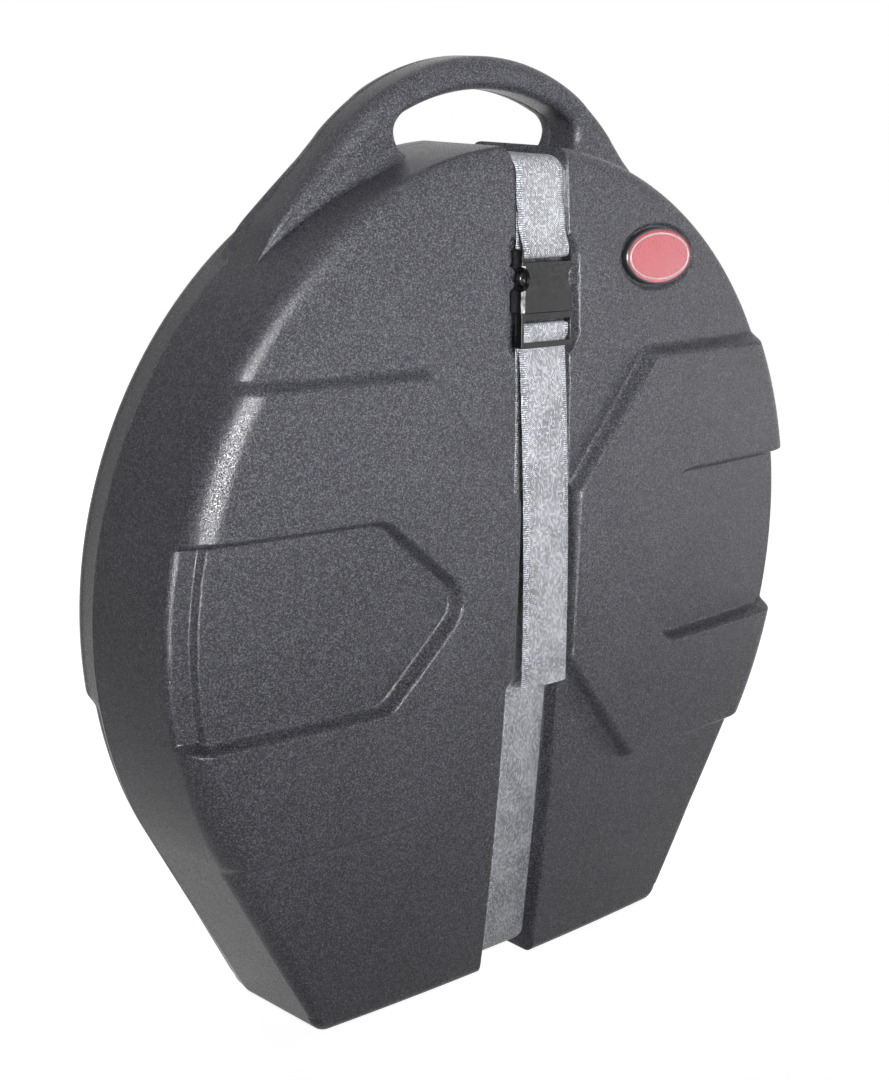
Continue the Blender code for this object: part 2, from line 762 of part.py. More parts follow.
def loft(rings):
    """A solid through rings of as many points each, with flat ends."""
    mesh = bmesh.new()
    levels = [[mesh.verts.new(point) for point in ring] for ring in rings]
    for near, far in zip(levels, levels[1:]):
        bridge(mesh, near, far)
    mesh.faces.new(levels[0])
    mesh.faces.new(levels[-1])
    return closed_mesh(mesh)


def prism(outline, low_y, high_y):
    return loft([[(x, y, z) for x, z in outline] for y in (low_y, high_y)])


def box(low, high):
    corners = [(low[0], low[2]), (high[0], low[2]), (high[0], high[2]), (low[0], high[2])]
    return prism(corners, low[1], high[1])


def plate_with_hole(outer, inner, low, high, spot):
    """A flat ring between two outlines of as many points each; spot(point, level) gives a place."""
    mesh = bmesh.new()
    rings = []
    for outline, level in ((outer, low), (outer, high), (inner, high), (inner, low)):
        rings.append([mesh.verts.new(spot(point, level)) for point in outline])
    for near, far in zip(rings, rings[1:] + rings[:1]):
        bridge(mesh, near, far)
    return closed_mesh(mesh)


def turned(profile, steps, centre):
    """A turned solid about a line along Y, from (radius, y) points; a first radius of 0 closes on the axis."""
    mesh = bmesh.new()
    rings = []
    for radius, y in profile:
        if radius == 0:
            rings.append([mesh.verts.new((centre[0], y, centre[1]))])
            continue
        ring = []
        for k in range(steps):
            angle = math.tau * k / steps
            spot = (centre[0] + radius * math.cos(angle), y, centre[1] + radius * math.sin(angle))
            ring.append(mesh.verts.new(spot))
        rings.append(ring)
    pairs = list(zip(rings, rings[1:]))
    if len(rings[0]) > 1:
        pairs.append((rings[-1], rings[0]))
    for near, far in pairs:
        if len(near) == 1 or len(far) == 1:
            tip, ring = (near[0], far) if len(near) == 1 else (far[0], near)
            for k in range(steps):
                mesh.faces.new((tip, ring[k], ring[(k + 1) % steps]))
        else:
            bridge(mesh, near, far)
    return closed_mesh(mesh)


def place(name, mesh, surface, origin=(0.0, 0.0, 0.0)):
    """Makes an object whose own origin is at the given point, and moves the layout to the part's origin."""
    for vertex in mesh.verts:
        vertex.co -= Vector(origin)
    data = bpy.data.meshes.new(name)
    mesh.to_mesh(data)
    mesh.free()
    data.materials.append(surface)
    made = bpy.data.objects.new(name, data)
    made.location = (origin[0], origin[1] - MIDDLE_Y, origin[2])
    bpy.context.scene.collection.objects.link(made)
    return made


def cutter(name, mesh):
    made = place(name, mesh, shell_plastic())
    made.hide_render = True
    made.display_type = "WIRE"
    return made


def combine(target, operation, other):
    step = target.modifiers.new(other.name, "BOOLEAN")
    step.operation = operation
    step.object = other
    step.solver = "EXACT"


def cut(target, *others):
    for other in others:
        combine(target, "DIFFERENCE", other)


def join(target, *others):
    for other in others:
        combine(target, "UNION", other)


def bevel(target, width):
    step = target.modifiers.new("edges", "BEVEL")
    step.width = width
    step.segments = 1
    step.limit_method = "ANGLE"


def smooth(target):
    target.data.shade_smooth()
    target.data.set_sharp_from_angle(angle=math.radians(35))


# Handle


def handle_corners():
    """Outline of the handle: a round top, straight shoulders and a root buried in the case."""
    limit = math.radians(HANDLE_SHOULDER_ANGLE)
    arc = []
    for step in range(HANDLE_STEPS + 1):
        angle = blend(-limit, limit, step / HANDLE_STEPS)
        arc.append((HANDLE_RADIUS * math.sin(-angle), HANDLE_CENTRE_Z + HANDLE_RADIUS * math.cos(angle)))
    shoulder_x = HANDLE_RADIUS * math.sin(limit)
    shoulder_z = HANDLE_CENTRE_Z + HANDLE_RADIUS * math.cos(limit)
    flank_z = shoulder_z - (HANDLE_FLANK_X - shoulder_x) * math.tan(limit)
    right = [(HANDLE_ROOT_X, HANDLE_ROOT_Z), (HANDLE_END_X, HANDLE_END_Z), (HANDLE_FLANK_X, flank_z)]
    return right + arc + [(-x, z) for x, z in reversed(right)]


def hole_outline():
    """Outline of the hand hole: a flat foot, upright ends and a low arch."""
    centre_z = HOLE_TOP_Z - HOLE_ARC_RADIUS
    arch = []
    for share in HOLE_ARC_SHARES:
        x = share * HOLE_HALF_WIDTH
        arch.append((x, centre_z + math.sqrt(HOLE_ARC_RADIUS**2 - x * x)))
    end_z = arch[0][1] - (HOLE_HALF_WIDTH - arch[0][0])
    foot_x, foot_z = HOLE_HALF_WIDTH - HOLE_CHAMFER, HOLE_FOOT_Z + HOLE_CHAMFER
    foot = [(-HOLE_HALF_WIDTH, foot_z), (-foot_x, HOLE_FOOT_Z), (foot_x, HOLE_FOOT_Z), (HOLE_HALF_WIDTH, foot_z)]
    corners = foot + [(HOLE_HALF_WIDTH, end_z)] + arch + [(-HOLE_HALF_WIDTH, end_z)]
    return RoundedOutline(corners, HOLE_CORNER_RADIUS, 2)


def rounded_levels(low_y, high_y, radius):
    """(y, inset) pairs of an edge that is rounded at both ends."""
    levels = []
    for angle in EDGE_ANGLES:
        turn = math.radians(angle)
        levels.append((low_y + radius * (1 - math.cos(turn)), radius * (1 - math.sin(turn))))
    return levels + [(low_y + high_y - y, inset) for y, inset in reversed(levels)]


def handle_solid(name, inset):
    """The whole handle without its seam, or the hollow inside it when the inset is the wall."""
    corners = handle_corners()
    radius = HANDLE_EDGE_RADIUS - inset
    rings = []
    for y, more in rounded_levels(HANDLE_FRONT_Y + inset, HANDLE_BACK_Y - inset, radius):
        rings.append([(x, y, z) for x, z in shrink(corners, inset + more)])
    handle = cutter(name, loft(rings))
    hole = hole_outline()
    rings = []
    if inset:
        for y in (HANDLE_FRONT_Y - OVERRUN, HANDLE_BACK_Y + OVERRUN):
            rings.append([(x, y, z) for x, z in hole.contour(-inset)])
    else:
        levels = rounded_levels(HANDLE_FRONT_Y, HANDLE_BACK_Y, HOLE_EDGE_RADIUS)
        levels = [(HANDLE_FRONT_Y - OVERRUN, HOLE_EDGE_RADIUS)] + levels
        levels.append((HANDLE_BACK_Y + OVERRUN, HOLE_EDGE_RADIUS))
        for y, more in levels:
            rings.append([(x, y, z) for x, z in hole.contour(-more)])
    half = GROOVE_HALF_WIDTH + inset
    middle_z = (HOLE_FOOT_Z + HOLE_TOP_Z) / 2
    notch = box((-half, -CASE_RADIUS, CASE_CENTRE_Z), (half, CASE_RADIUS, middle_z))
    cut(handle, cutter(name + "_hole", loft(rings)), cutter(name + "_notch", notch))
    return handle


def half_space(name, low_y, high_y):
    reach = CASE_RADIUS + OVERRUN
    top = HANDLE_CENTRE_Z + HANDLE_RADIUS + OVERRUN
    return cutter(name, box((-reach, low_y, -OVERRUN), (reach, high_y, top)))


def strap_channels(name, wall):
    """Cutters for the grooves across the top and the foot, wider and deeper by the wall for the hollow."""
    half = (GROOVE_HALF_WIDTH + GROOVE_FLOOR_HALF_WIDTH) / 2 + wall
    near, far = -CASE_RADIUS, CASE_RADIUS
    top = box((-half, near, TOP_GROOVE_Z - wall), (half, far, (HOLE_FOOT_Z + HOLE_TOP_Z) / 2))
    foot = box((-half, near, -OVERRUN), (half, far, FOOT_GROOVE_Z + wall))
    return cutter(name + "_top", top), cutter(name + "_foot", foot)


def seam_band(name, inset, low_y, high_y, gap):
    """The outline at the seam, without the stretches at the handle and the strap grooves."""
    growth = (CASE_RADIUS + SIDE_DRAFT) / CASE_RADIUS
    outline = [(x * growth, z) for x, z in CASE.contour(inset)]
    band = cutter(name, prism(outline, low_y, high_y))
    reach = CASE_RADIUS + OVERRUN
    half = GROOVE_HALF_WIDTH + WALL + gap
    top_z = HANDLE_ROOT_Z - gap
    top = box((-reach, low_y - OVERRUN, top_z), (reach, high_y + OVERRUN, HOLE_TOP_Z))
    foot = box((-half, low_y - OVERRUN, -OVERRUN), (half, high_y + OVERRUN, FOOT_GROOVE_Z + 2 * WALL))
    cut(band, cutter(name + "_at_handle", top), cutter(name + "_at_foot", foot))
    return band


def shell(name, rise, contours, rim_y, facing, handle, handle_hollow, channels, hollow_channels):
    """One moulded shell: its face and side, half of the handle, the strap groove and the hollow inside."""
    extra = dome_points()
    beyond = SEAM_Y - facing * OVERRUN
    outer = face_solid(rise, contours, extra, 0.0, rim_y, facing, SEAM_Y)
    made = place(name, outer, shell_plastic())
    inner = face_solid(rise, contours, extra, WALL, rim_y, facing, beyond)
    hollow = cutter(name + "_hollow", inner)
    cut(hollow, *hollow_channels)
    far = SEAM_Y - facing * CASE_RADIUS
    away = half_space(name + "_other_half", min(SEAM_Y, far), max(SEAM_Y, far))
    join(made, handle)
    cut(made, away, *channels)
    cut(made, hollow, handle_hollow)
    return made


def build_shells():
    handle = handle_solid("handle", 0.0)
    handle_hollow = handle_solid("handle_hollow", WALL)
    channels = strap_channels("channel", 0.0)
    hollow_channels = strap_channels("hollow_channel", WALL)
    shared = (handle, handle_hollow, channels, hollow_channels)
    front = shell("front_shell", front_rise, front_contours, 0.0, -1, *shared)
    back = shell("back_shell", back_rise, back_contours, BACK_RIM_Y, 1, *shared)
    inset = WALL - TONGUE_THICKNESS
    rebate_y = SEAM_Y - TONGUE_HEIGHT - FIT_GAP
    rebate = seam_band("rebate", inset - FIT_GAP, rebate_y, SEAM_Y + OVERRUN, 0.0)
    cut(front, rebate)
    tongue = seam_band("tongue", inset, SEAM_Y - TONGUE_HEIGHT, SEAM_Y + TONGUE_HEIGHT, FIT_GAP)
    inside = [(x * (CASE_RADIUS + SIDE_DRAFT) / CASE_RADIUS, z) for x, z in CASE.contour(WALL)]
    cut(tongue, cutter("tongue_bore", prism(inside, -CASE_RADIUS, CASE_RADIUS)))
    join(back, tongue)
    for index, centre in enumerate(screw_centres()):
        top = back_inner_y() + SCREW_DEPTH + FIT_GAP
        mouth = back_inner_y() - OVERRUN
        profile = [(0.0, top), (SCREW_RADIUS + FIT_GAP, top), (SCREW_RADIUS + FIT_GAP, mouth), (0.0, mouth)]
        cut(back, cutter(f"screw_hole_{index}", turned(profile, SCREW_STEPS, centre)))
    smooth(front)
    smooth(back)


# Foam and post


def back_inner_y():
    """The inner side of the back shell at its middle, which is the strap groove's floor seen from inside."""
    return BACK_RIM_Y + BACK_DOME - GROOVE_DEPTH - WALL


def circle(radius, steps, centre=(0.0, 0.0), start=0.0):
    points = []
    for k in range(steps):
        angle = start + math.tau * k / steps
        points.append((centre[0] + radius * math.cos(angle), centre[1] + radius * math.sin(angle)))
    return points


def front_foam_y():
    """The plane of the front foam's face, which rests on the deepest of the features inside the front shell."""
    foam_top = CASE_CENTRE_Z + FOAM_RADIUS
    well_top = WELL_TOP_Z + WALL * WALL_SHIFT_SHARE
    in_groove = groove_rise(0.0, foam_top, FRONT_DOME, WALL)
    in_well = dome(0.0, well_top, FRONT_DOME) - WELL_DEPTH
    return WALL + FIT_GAP - min(in_groove, in_well)


def back_foam_y():
    """The plane of the back foam's rear face, which rests on the strap groove's floor inside the back shell."""
    foam_top = CASE_CENTRE_Z + FOAM_RADIUS
    return BACK_RIM_Y + groove_rise(0.0, foam_top, BACK_DOME, WALL) - WALL - FIT_GAP


def build_foam():
    centre = (0.0, CASE_CENTRE_Z)
    near, far = front_foam_y(), front_foam_y() + FRONT_FOAM_THICKNESS
    profile = [(0.0, near), (FOAM_RADIUS, near), (FOAM_RADIUS, far), (0.0, far)]
    place("front_foam", turned(profile, FOAM_STEPS, centre), foam_material())
    far = back_foam_y()
    near = far - BACK_FOAM_THICKNESS
    profile = [(FOAM_HOLE_RADIUS, near), (FOAM_RADIUS, near), (FOAM_RADIUS, far), (FOAM_HOLE_RADIUS, far)]
    place("back_foam", turned(profile, FOAM_STEPS, centre), foam_material())


def screw_centres():
    start = math.pi / FLANGE_SCREW_COUNT + math.pi / POST_STEPS
    return circle(FLANGE_SCREW_CIRCLE, FLANGE_SCREW_COUNT, (0.0, CASE_CENTRE_Z), start)


def build_post():
    centre = (0.0, CASE_CENTRE_Z)
    seat_y = back_inner_y() - FIT_GAP
    face_y = seat_y - FLANGE_THICKNESS
    bore = POST_RADIUS + FIT_GAP
    boss_y = face_y - BOSS_HEIGHT
    profile = [(bore, seat_y), (bore, boss_y), (BOSS_RADIUS, boss_y), (BOSS_RADIUS, face_y)]
    profile += [(FLANGE_RADIUS, face_y), (FLANGE_RADIUS, seat_y)]
    flange = place("post_flange", turned(profile, POST_STEPS, centre), steel_material())
    for index, spot in enumerate(screw_centres()):
        hole = SCREW_RADIUS + FIT_GAP
        reach = [(0.0, seat_y + OVERRUN), (hole, seat_y + OVERRUN), (hole, face_y - OVERRUN), (0.0, face_y - OVERRUN)]
        cut(flange, cutter(f"flange_hole_{index}", turned(reach, SCREW_STEPS, spot)))
        head_y = face_y - FIT_GAP
        profile = [(0.0, back_inner_y() + SCREW_DEPTH), (SCREW_RADIUS, back_inner_y() + SCREW_DEPTH)]
        profile += [(SCREW_RADIUS, head_y), (SCREW_HEAD_RADIUS, head_y)]
        profile += [(SCREW_HEAD_RADIUS, head_y - SCREW_HEAD_HEIGHT / 2)]
        profile += [(SCREW_RADIUS, head_y - SCREW_HEAD_HEIGHT), (0.0, head_y - SCREW_HEAD_HEIGHT)]
        place(f"flange_screw_{index + 1}", turned(profile, SCREW_STEPS, spot), steel_material())
    tip_y = seat_y - POST_LENGTH
    chamfer = POST_RADIUS / 4
    profile = [(0.0, seat_y), (POST_RADIUS, seat_y), (POST_RADIUS, tip_y + chamfer)]
    profile += [(POST_RADIUS - chamfer, tip_y), (0.0, tip_y)]
    place("centre_post", turned(profile, POST_STEPS, centre), steel_material())
    build_clamp(centre, boss_y)


def washer(name, outer, bore, near_y, far_y, surface, centre, origin=None):
    profile = [(bore, near_y), (outer, near_y), (outer, far_y), (bore, far_y)]
    return place(name, turned(profile, POST_STEPS, centre), surface, origin or (centre[0], far_y, centre[1]))


def build_clamp(centre, boss_y):
    """The cup, felts and washer on the post, and the wing nut that clamps them."""
    bore = POST_RADIUS + RUNNING_GAP
    far = boss_y - FIT_GAP
    near = far - CUP_THICKNESS
    washer("base_cup", CUP_RADIUS, bore, near, far, buckle_plastic(), centre)
    far, near = near - FIT_GAP, near - FIT_GAP - LOWER_FELT_THICKNESS
    washer("lower_felt", FELT_RADIUS, bore, near, far, felt_material(), centre)
    far, near = near - FIT_GAP, near - FIT_GAP - UPPER_FELT_THICKNESS
    washer("upper_felt", FELT_RADIUS, bore, near, far, felt_material(), centre)
    far, near = near - FIT_GAP, near - FIT_GAP - WASHER_THICKNESS
    washer("clamp_washer", WASHER_RADIUS, bore, near, far, steel_material(), centre)
    build_wing_nut(centre, near - FIT_GAP)


def build_wing_nut(centre, far):
    bore = POST_RADIUS + RUNNING_GAP
    near = far - NUT_HUB_HEIGHT
    taper = NUT_HUB_RADIUS * NUT_TAPER_SHARE
    profile = [(bore, near), (taper, near), (NUT_HUB_RADIUS, far), (bore, far)]
    origin = (centre[0], far, centre[1])
    nut = place("wing_nut", turned(profile, POST_STEPS, centre), steel_material(), origin)
    middle = (bore + taper) / 2
    outline = [
        (middle, far - NUT_WING_THICKNESS / 2),
        (NUT_WING_SPAN, far - NUT_WING_ROOT_HEIGHT),
        (NUT_WING_SPAN, far - NUT_WING_HEIGHT),
        (NUT_WING_SPAN - NUT_WING_THICKNESS, far - NUT_WING_HEIGHT),
        (middle, far - NUT_WING_ROOT_HEIGHT),
    ]
    for side, name in ((1, "wing_right"), (-1, "wing_left")):
        rings = []
        for z in (-NUT_WING_THICKNESS / 2, NUT_WING_THICKNESS / 2):
            rings.append([(side * x, y, centre[1] + z) for x, y in outline])
        join(nut, cutter(name, loft(rings)))
    smooth(nut)


# Badge


def badge_frame():
    """Origin and axes of the badge, which lies square to the dome under it."""
    slope = -2 * SWELL_RISE / SWELL_RADIUS**2
    across = Vector((1.0, -slope * BADGE_X, 0.0)).normalized()
    up = Vector((0.0, -slope * (BADGE_Z - SWELL_Z), 1.0)).normalized()
    out = across.cross(up).normalized()
    if out.y > 0:
        out = -out
    floor = swell(BADGE_X, BADGE_Z) - SEAT_DEPTH
    return Vector((BADGE_X, -floor, BADGE_Z)), across, up, out


def build_badge():
    origin, across, up, out = badge_frame()

    def spot(point, level):
        return origin + across * point[0] + up * point[1] + out * level

    def oval(grow):
        outline = EllipseOutline((0.0, 0.0), BADGE_HALF_WIDTH + grow, BADGE_HALF_HEIGHT + grow, BADGE_STEPS)
        return outline.contour(0.0)

    lift = FIT_GAP * 2
    top = lift + BADGE_HOLDER_THICKNESS
    rings = []
    for grow, level in ((BADGE_BORDER, lift), (BADGE_BORDER, top - BADGE_BORDER), (BADGE_BORDER / 2, top)):
        rings.append([spot(point, level) for point in oval(grow)])
    holder = place("badge_holder", loft(rings), buckle_plastic())
    inlet = [[spot(point, level) for point in oval(0.0)] for level in (top - BADGE_PLATE_INLET, top + OVERRUN)]
    cut(holder, cutter("badge_inlet", loft(inlet)))
    base = top - BADGE_PLATE_INLET + FIT_GAP
    rings = []
    for grow, level in ((-FIT_GAP, base), (-FIT_GAP, base + BADGE_PLATE_THICKNESS), (-BADGE_BORDER, 0.0)):
        level = level or base + BADGE_PLATE_THICKNESS + FIT_GAP
        rings.append([spot(point, level) for point in oval(grow)])
    plate = place("badge_plate", loft(rings), material("badge_red", BADGE_COLOUR, 0.35))
    smooth(holder)
    smooth(plate)


# Webbing and buckle


def groove_floor(z, back=False):
    """Y of the groove's floor at the height z."""
    if back:
        return BACK_RIM_Y + dome(0.0, z, BACK_DOME) - GROOVE_DEPTH
    return GROOVE_DEPTH - dome(0.0, z, FRONT_DOME)


def buckle_spot(u, w):
    """(y, z) of a point along and above the groove's floor, on the plane that touches it at the mouth."""
    slope = -2 * FRONT_DOME * (MOUTH_Z - CASE_CENTRE_Z) / CASE_RADIUS**2
    along = Vector((-slope, 1.0)).normalized()
    out = Vector((-along.y, along.x))
    base = Vector((groove_floor(MOUTH_Z), MOUTH_Z))
    return base + along * u + out * w


def buckle_solid(outline, low_w, high_w):
    """A plate of the buckle: an (x, u) outline between two heights above the groove's floor."""
    rings = []
    for w in (low_w, high_w):
        ring = []
        for x, u in outline:
            y, z = buckle_spot(u, w)
            ring.append((x, y, z))
        rings.append(ring)
    return loft(rings)


def buckle_block(half, low_u, high_u, low_w, high_w, centre_x=0.0):
    left, right = centre_x - half, centre_x + half
    return buckle_solid([(left, low_u), (right, low_u), (right, high_u), (left, high_u)], low_w, high_w)


def rounded_route(points, radii):
    """Points of a route in (y, z) whose corners are rounded to the given radii."""
    route = [Vector(points[0])]
    for before, here, after, radius in zip(points, points[1:], points[2:], radii):
        before, here, after = Vector(before), Vector(here), Vector(after)
        first, second = (here - before).normalized(), (after - here).normalized()
        turn = math.acos(max(min(first.dot(second), 1.0), -1.0))
        if not radius or turn < math.radians(2):
            route.append(here)
            continue
        back = radius * math.tan(turn / 2)
        start, end = here - first * back, here + second * back
        cross = first.x * second.y - first.y * second.x
        side = 1 if cross > 0 else -1
        centre = start + Vector((-first.y, first.x)) * side * radius
        begin = start - centre
        for step in range(BEND_STEPS + 1):
            angle = side * turn * step / BEND_STEPS
            c, s = math.cos(angle), math.sin(angle)
            route.append(centre + Vector((begin.x * c - begin.y * s, begin.x * s + begin.y * c)))
    route.append(Vector(points[-1]))
    return route


def ribbon(route):
    """A flat strap along a route in (y, z)."""
    mesh = bmesh.new()
    rings = []
    for index, here in enumerate(route):
        before = route[max(index - 1, 0)]
        after = route[min(index + 1, len(route) - 1)]
        first = (here - before).normalized() if index else (after - here).normalized()
        second = (after - here).normalized() if index < len(route) - 1 else first
        mitre = Vector((-first.y - second.y, first.x + second.x)) / (1 + first.dot(second))
        near, far = here - mitre * STRAP_THICKNESS / 2, here + mitre * STRAP_THICKNESS / 2
        ring = []
        for x, spot in ((-1, near), (1, near), (1, far), (-1, far)):
            ring.append(mesh.verts.new((x * STRAP_HALF_WIDTH, spot.x, spot.y)))
        rings.append(ring)
    for near, far in zip(rings, rings[1:]):
        bridge(mesh, near, far)
    mesh.faces.new(rings[0])
    mesh.faces.new(rings[-1])
    return closed_mesh(mesh)


def strap_lift():
    return FIT_GAP + STRAP_THICKNESS / 2


def floor_stations(low_z, high_z, back=False):
    """Points above the groove's floor, from the high end to the low end."""
    points = []
    for step in range(STRAP_STATIONS + 1):
        z = blend(high_z, low_z, step / STRAP_STATIONS)
        lift = strap_lift() if back else -strap_lift()
        points.append((groove_floor(z, back) + lift, z))
    return points


def corner_of(z, back=False):
    lift = strap_lift() if back else -strap_lift()
    return (groove_floor(z, back) + lift, z)


def build_straps():
    bend = EDGE_RADIUS + strap_lift()
    top_z = TOP_GROOVE_Z + strap_lift()
    foot_z = FOOT_GROOVE_Z - strap_lift()
    inner_top, inner_foot = top_z - bend, foot_z + bend
    fronts = floor_stations(inner_foot, inner_top, True)
    back_top, back_foot = (fronts[0][0], top_z), (fronts[-1][0], foot_z)
    points = [(SEAM_Y + FIT_GAP / 2, top_z), back_top] + fronts[1:-1] + [back_foot]
    points.append((SEAM_Y + FIT_GAP / 2, foot_z))
    radii = [bend] + [0] * len(fronts[1:-1]) + [bend]
    place("strap_back", ribbon(rounded_route(points, radii)), webbing_material())
    build_upper_strap(bend, top_z, inner_top)
    build_lower_strap(bend, foot_z, inner_foot)
    build_tail()


def build_upper_strap(bend, top_z, inner_top):
    """From the seam over the top edge, down to the socket's bar, round it and up again to the stitches."""
    stitch = buckle_spot(STITCH_U, 0.0)
    single = floor_stations(stitch[1], inner_top)
    layer = STRAP_THICKNESS + FIT_GAP
    loop = SOCKET_BAR_HALF + 2 * FIT_GAP + STRAP_THICKNESS / 2
    bar_u, bar_w = SOCKET_BAR_U, SOCKET_BAR_W
    meet_u = (bar_u + STITCH_U) / 2
    end_u = STITCH_U - 3 * STRAP_THICKNESS
    points = [(SEAM_Y - FIT_GAP / 2, top_z), (single[0][0], top_z)] + single[1:]
    points += [front_of_floor(end_u, layer), front_of_floor(meet_u, layer)]
    points += [buckle_spot(bar_u + loop, bar_w + loop), buckle_spot(bar_u - loop, bar_w + loop)]
    points += [buckle_spot(bar_u - loop, bar_w - loop), buckle_spot(bar_u + loop, bar_w - loop)]
    points += [front_of_floor(meet_u, 0.0), front_of_floor(end_u - FIT_GAP, 0.0)]
    radii = [bend] + [0] * (len(single) + 2)
    radii += [0, loop, loop, 0, 0]
    place("strap_upper", ribbon(rounded_route(points, radii)), webbing_material())


def front_of_floor(u, more):
    """A point on the strap's middle line, lying on the groove's floor or a layer further out."""
    z = buckle_spot(u, 0.0)[1]
    return (groove_floor(z) - strap_lift() - more, z)


def build_lower_strap(bend, foot_z, inner_foot):
    """From the seam under the foot, up the groove and into the well behind the plug."""
    top = buckle_spot(MIDDLE_BAR_TOP_U, strap_lift())
    floor = floor_stations(inner_foot, WELL_FOOT_Z)
    points = [tuple(top)] + floor[:-1] + [(floor[-1][0], foot_z), (SEAM_Y - FIT_GAP / 2, foot_z)]
    radii = [0] * len(floor[:-1]) + [bend]
    place("strap_lower", ribbon(rounded_route(points, radii)), webbing_material())


def tail_points():
    """The free tail, which springs away from the case on a smooth curve to its end."""
    layer = STRAP_THICKNESS + FIT_GAP
    start = buckle_spot(-PLUG_LENGTH, strap_lift() + 2 * layer)
    start_rise, start_z = -start[0], start[1]
    points = []
    for step in range(1, TAIL_STEPS + 1):
        z = blend(start_z, TAIL_END_Z, step / TAIL_STEPS)
        near = (z - TAIL_MIDDLE_Z) * (z - TAIL_END_Z) / ((start_z - TAIL_MIDDLE_Z) * (start_z - TAIL_END_Z))
        middle = (z - start_z) * (z - TAIL_END_Z) / ((TAIL_MIDDLE_Z - start_z) * (TAIL_MIDDLE_Z - TAIL_END_Z))
        far = (z - start_z) * (z - TAIL_MIDDLE_Z) / ((TAIL_END_Z - start_z) * (TAIL_END_Z - TAIL_MIDDLE_Z))
        points.append((-(start_rise * near + TAIL_MIDDLE_RISE * middle + TAIL_END_RISE * far), z))
    return points


def build_tail():
    """Up behind the plug, over its middle bar, behind its bottom bar and down to the loose end."""
    layer = STRAP_THICKNESS + FIT_GAP
    rear_w = strap_lift() + layer
    tail_w = strap_lift() + 2 * layer
    front_w = MIDDLE_BAR_FRONT_W + strap_lift()
    over_u = MIDDLE_BAR_TOP_U + strap_lift() + FIT_GAP
    under_u = MIDDLE_BAR_FOOT_U - STRAP_THICKNESS / 2
    points = [buckle_spot(-PLUG_LENGTH - 2 * STRAP_THICKNESS, rear_w), buckle_spot(over_u, rear_w)]
    points += [buckle_spot(over_u, front_w), buckle_spot(under_u, front_w)]
    points += [buckle_spot(under_u - 2 * STRAP_THICKNESS, tail_w), buckle_spot(-PLUG_LENGTH, tail_w)]
    points = [tuple(point) for point in points] + tail_points()
    bend = STRAP_THICKNESS
    radii = [bend, bend, bend / 2, bend / 2] + [0] * TAIL_STEPS
    place("strap_tail", ribbon(rounded_route(points, radii)), webbing_material(), plug_origin())


def plug_origin():
    y, z = buckle_spot(-PLUG_COLLAR, (PLUG_BACK_W + PLUG_FRONT_W) / 2)
    return (0.0, y, z)


def build_socket():
    """The socket: a flat box open at its mouth, a scallop at each side, and the bar that the strap holds."""
    width, edge = SOCKET_HALF_WIDTH, SOCKET_EDGE
    outline = [(-width, 0.0), (width, 0.0), (width, SOCKET_LENGTH - edge), (width - edge, SOCKET_LENGTH)]
    outline += [(edge - width, SOCKET_LENGTH), (-width, SOCKET_LENGTH - edge)]
    rings = []
    levels = ((SOCKET_BACK_W, edge), (SOCKET_BACK_W + edge, 0.0))
    levels += ((SOCKET_FRONT_W - edge, 0.0), (SOCKET_FRONT_W, edge))
    for w, inset in levels:
        share = (width - inset) / width
        ring = []
        for x, u in outline:
            y, z = buckle_spot(u, w)
            ring.append((x * share, y, z))
        rings.append(ring)
    socket = place("buckle_socket", loft(rings), buckle_plastic())
    lug_x = width - FIT_GAP - LUG_THICKNESS / 2
    top_u = SOCKET_BAR_U + SOCKET_BAR_HALF
    low_u = SOCKET_LENGTH - edge
    for side, name in ((1, "lug_right"), (-1, "lug_left")):
        lug = buckle_block(LUG_THICKNESS / 2, low_u, top_u + FIT_GAP, LUG_BACK_W, LUG_FRONT_W, side * lug_x)
        join(socket, cutter(name, lug))
    join(socket, cutter("socket_bar", rounded_bar(width - LUG_THICKNESS / 2)))
    channel = buckle_block(CHANNEL_HALF_WIDTH, -OVERRUN, CHANNEL_LENGTH, CHANNEL_BACK_W, CHANNEL_FRONT_W)
    cut(socket, cutter("socket_channel", channel))
    for side, name in ((1, "window_right"), (-1, "window_left")):
        outline = []
        for k in range(WINDOW_STEPS):
            angle = math.tau * k / WINDOW_STEPS
            x = side * WINDOW_X + WINDOW_DEPTH * math.cos(angle)
            outline.append((x, WINDOW_U + WINDOW_HALF_LENGTH * math.sin(angle)))
        window = buckle_solid(outline, SOCKET_BACK_W - OVERRUN, SOCKET_FRONT_W + OVERRUN)
        cut(socket, cutter(name, window))


def rounded_bar(half):
    """The eight-sided bar at the socket's end that the strap's loop holds."""
    rings = []
    flat = SOCKET_BAR_HALF * math.tan(math.pi / 8)
    reach = math.hypot(SOCKET_BAR_HALF, flat)
    for x in (-half, half):
        ring = []
        for u, w in circle(reach, 8, (SOCKET_BAR_U, SOCKET_BAR_W), math.pi / 8):
            y, z = buckle_spot(u, w)
            ring.append((x, y, z))
        rings.append(ring)
    return loft(rings)


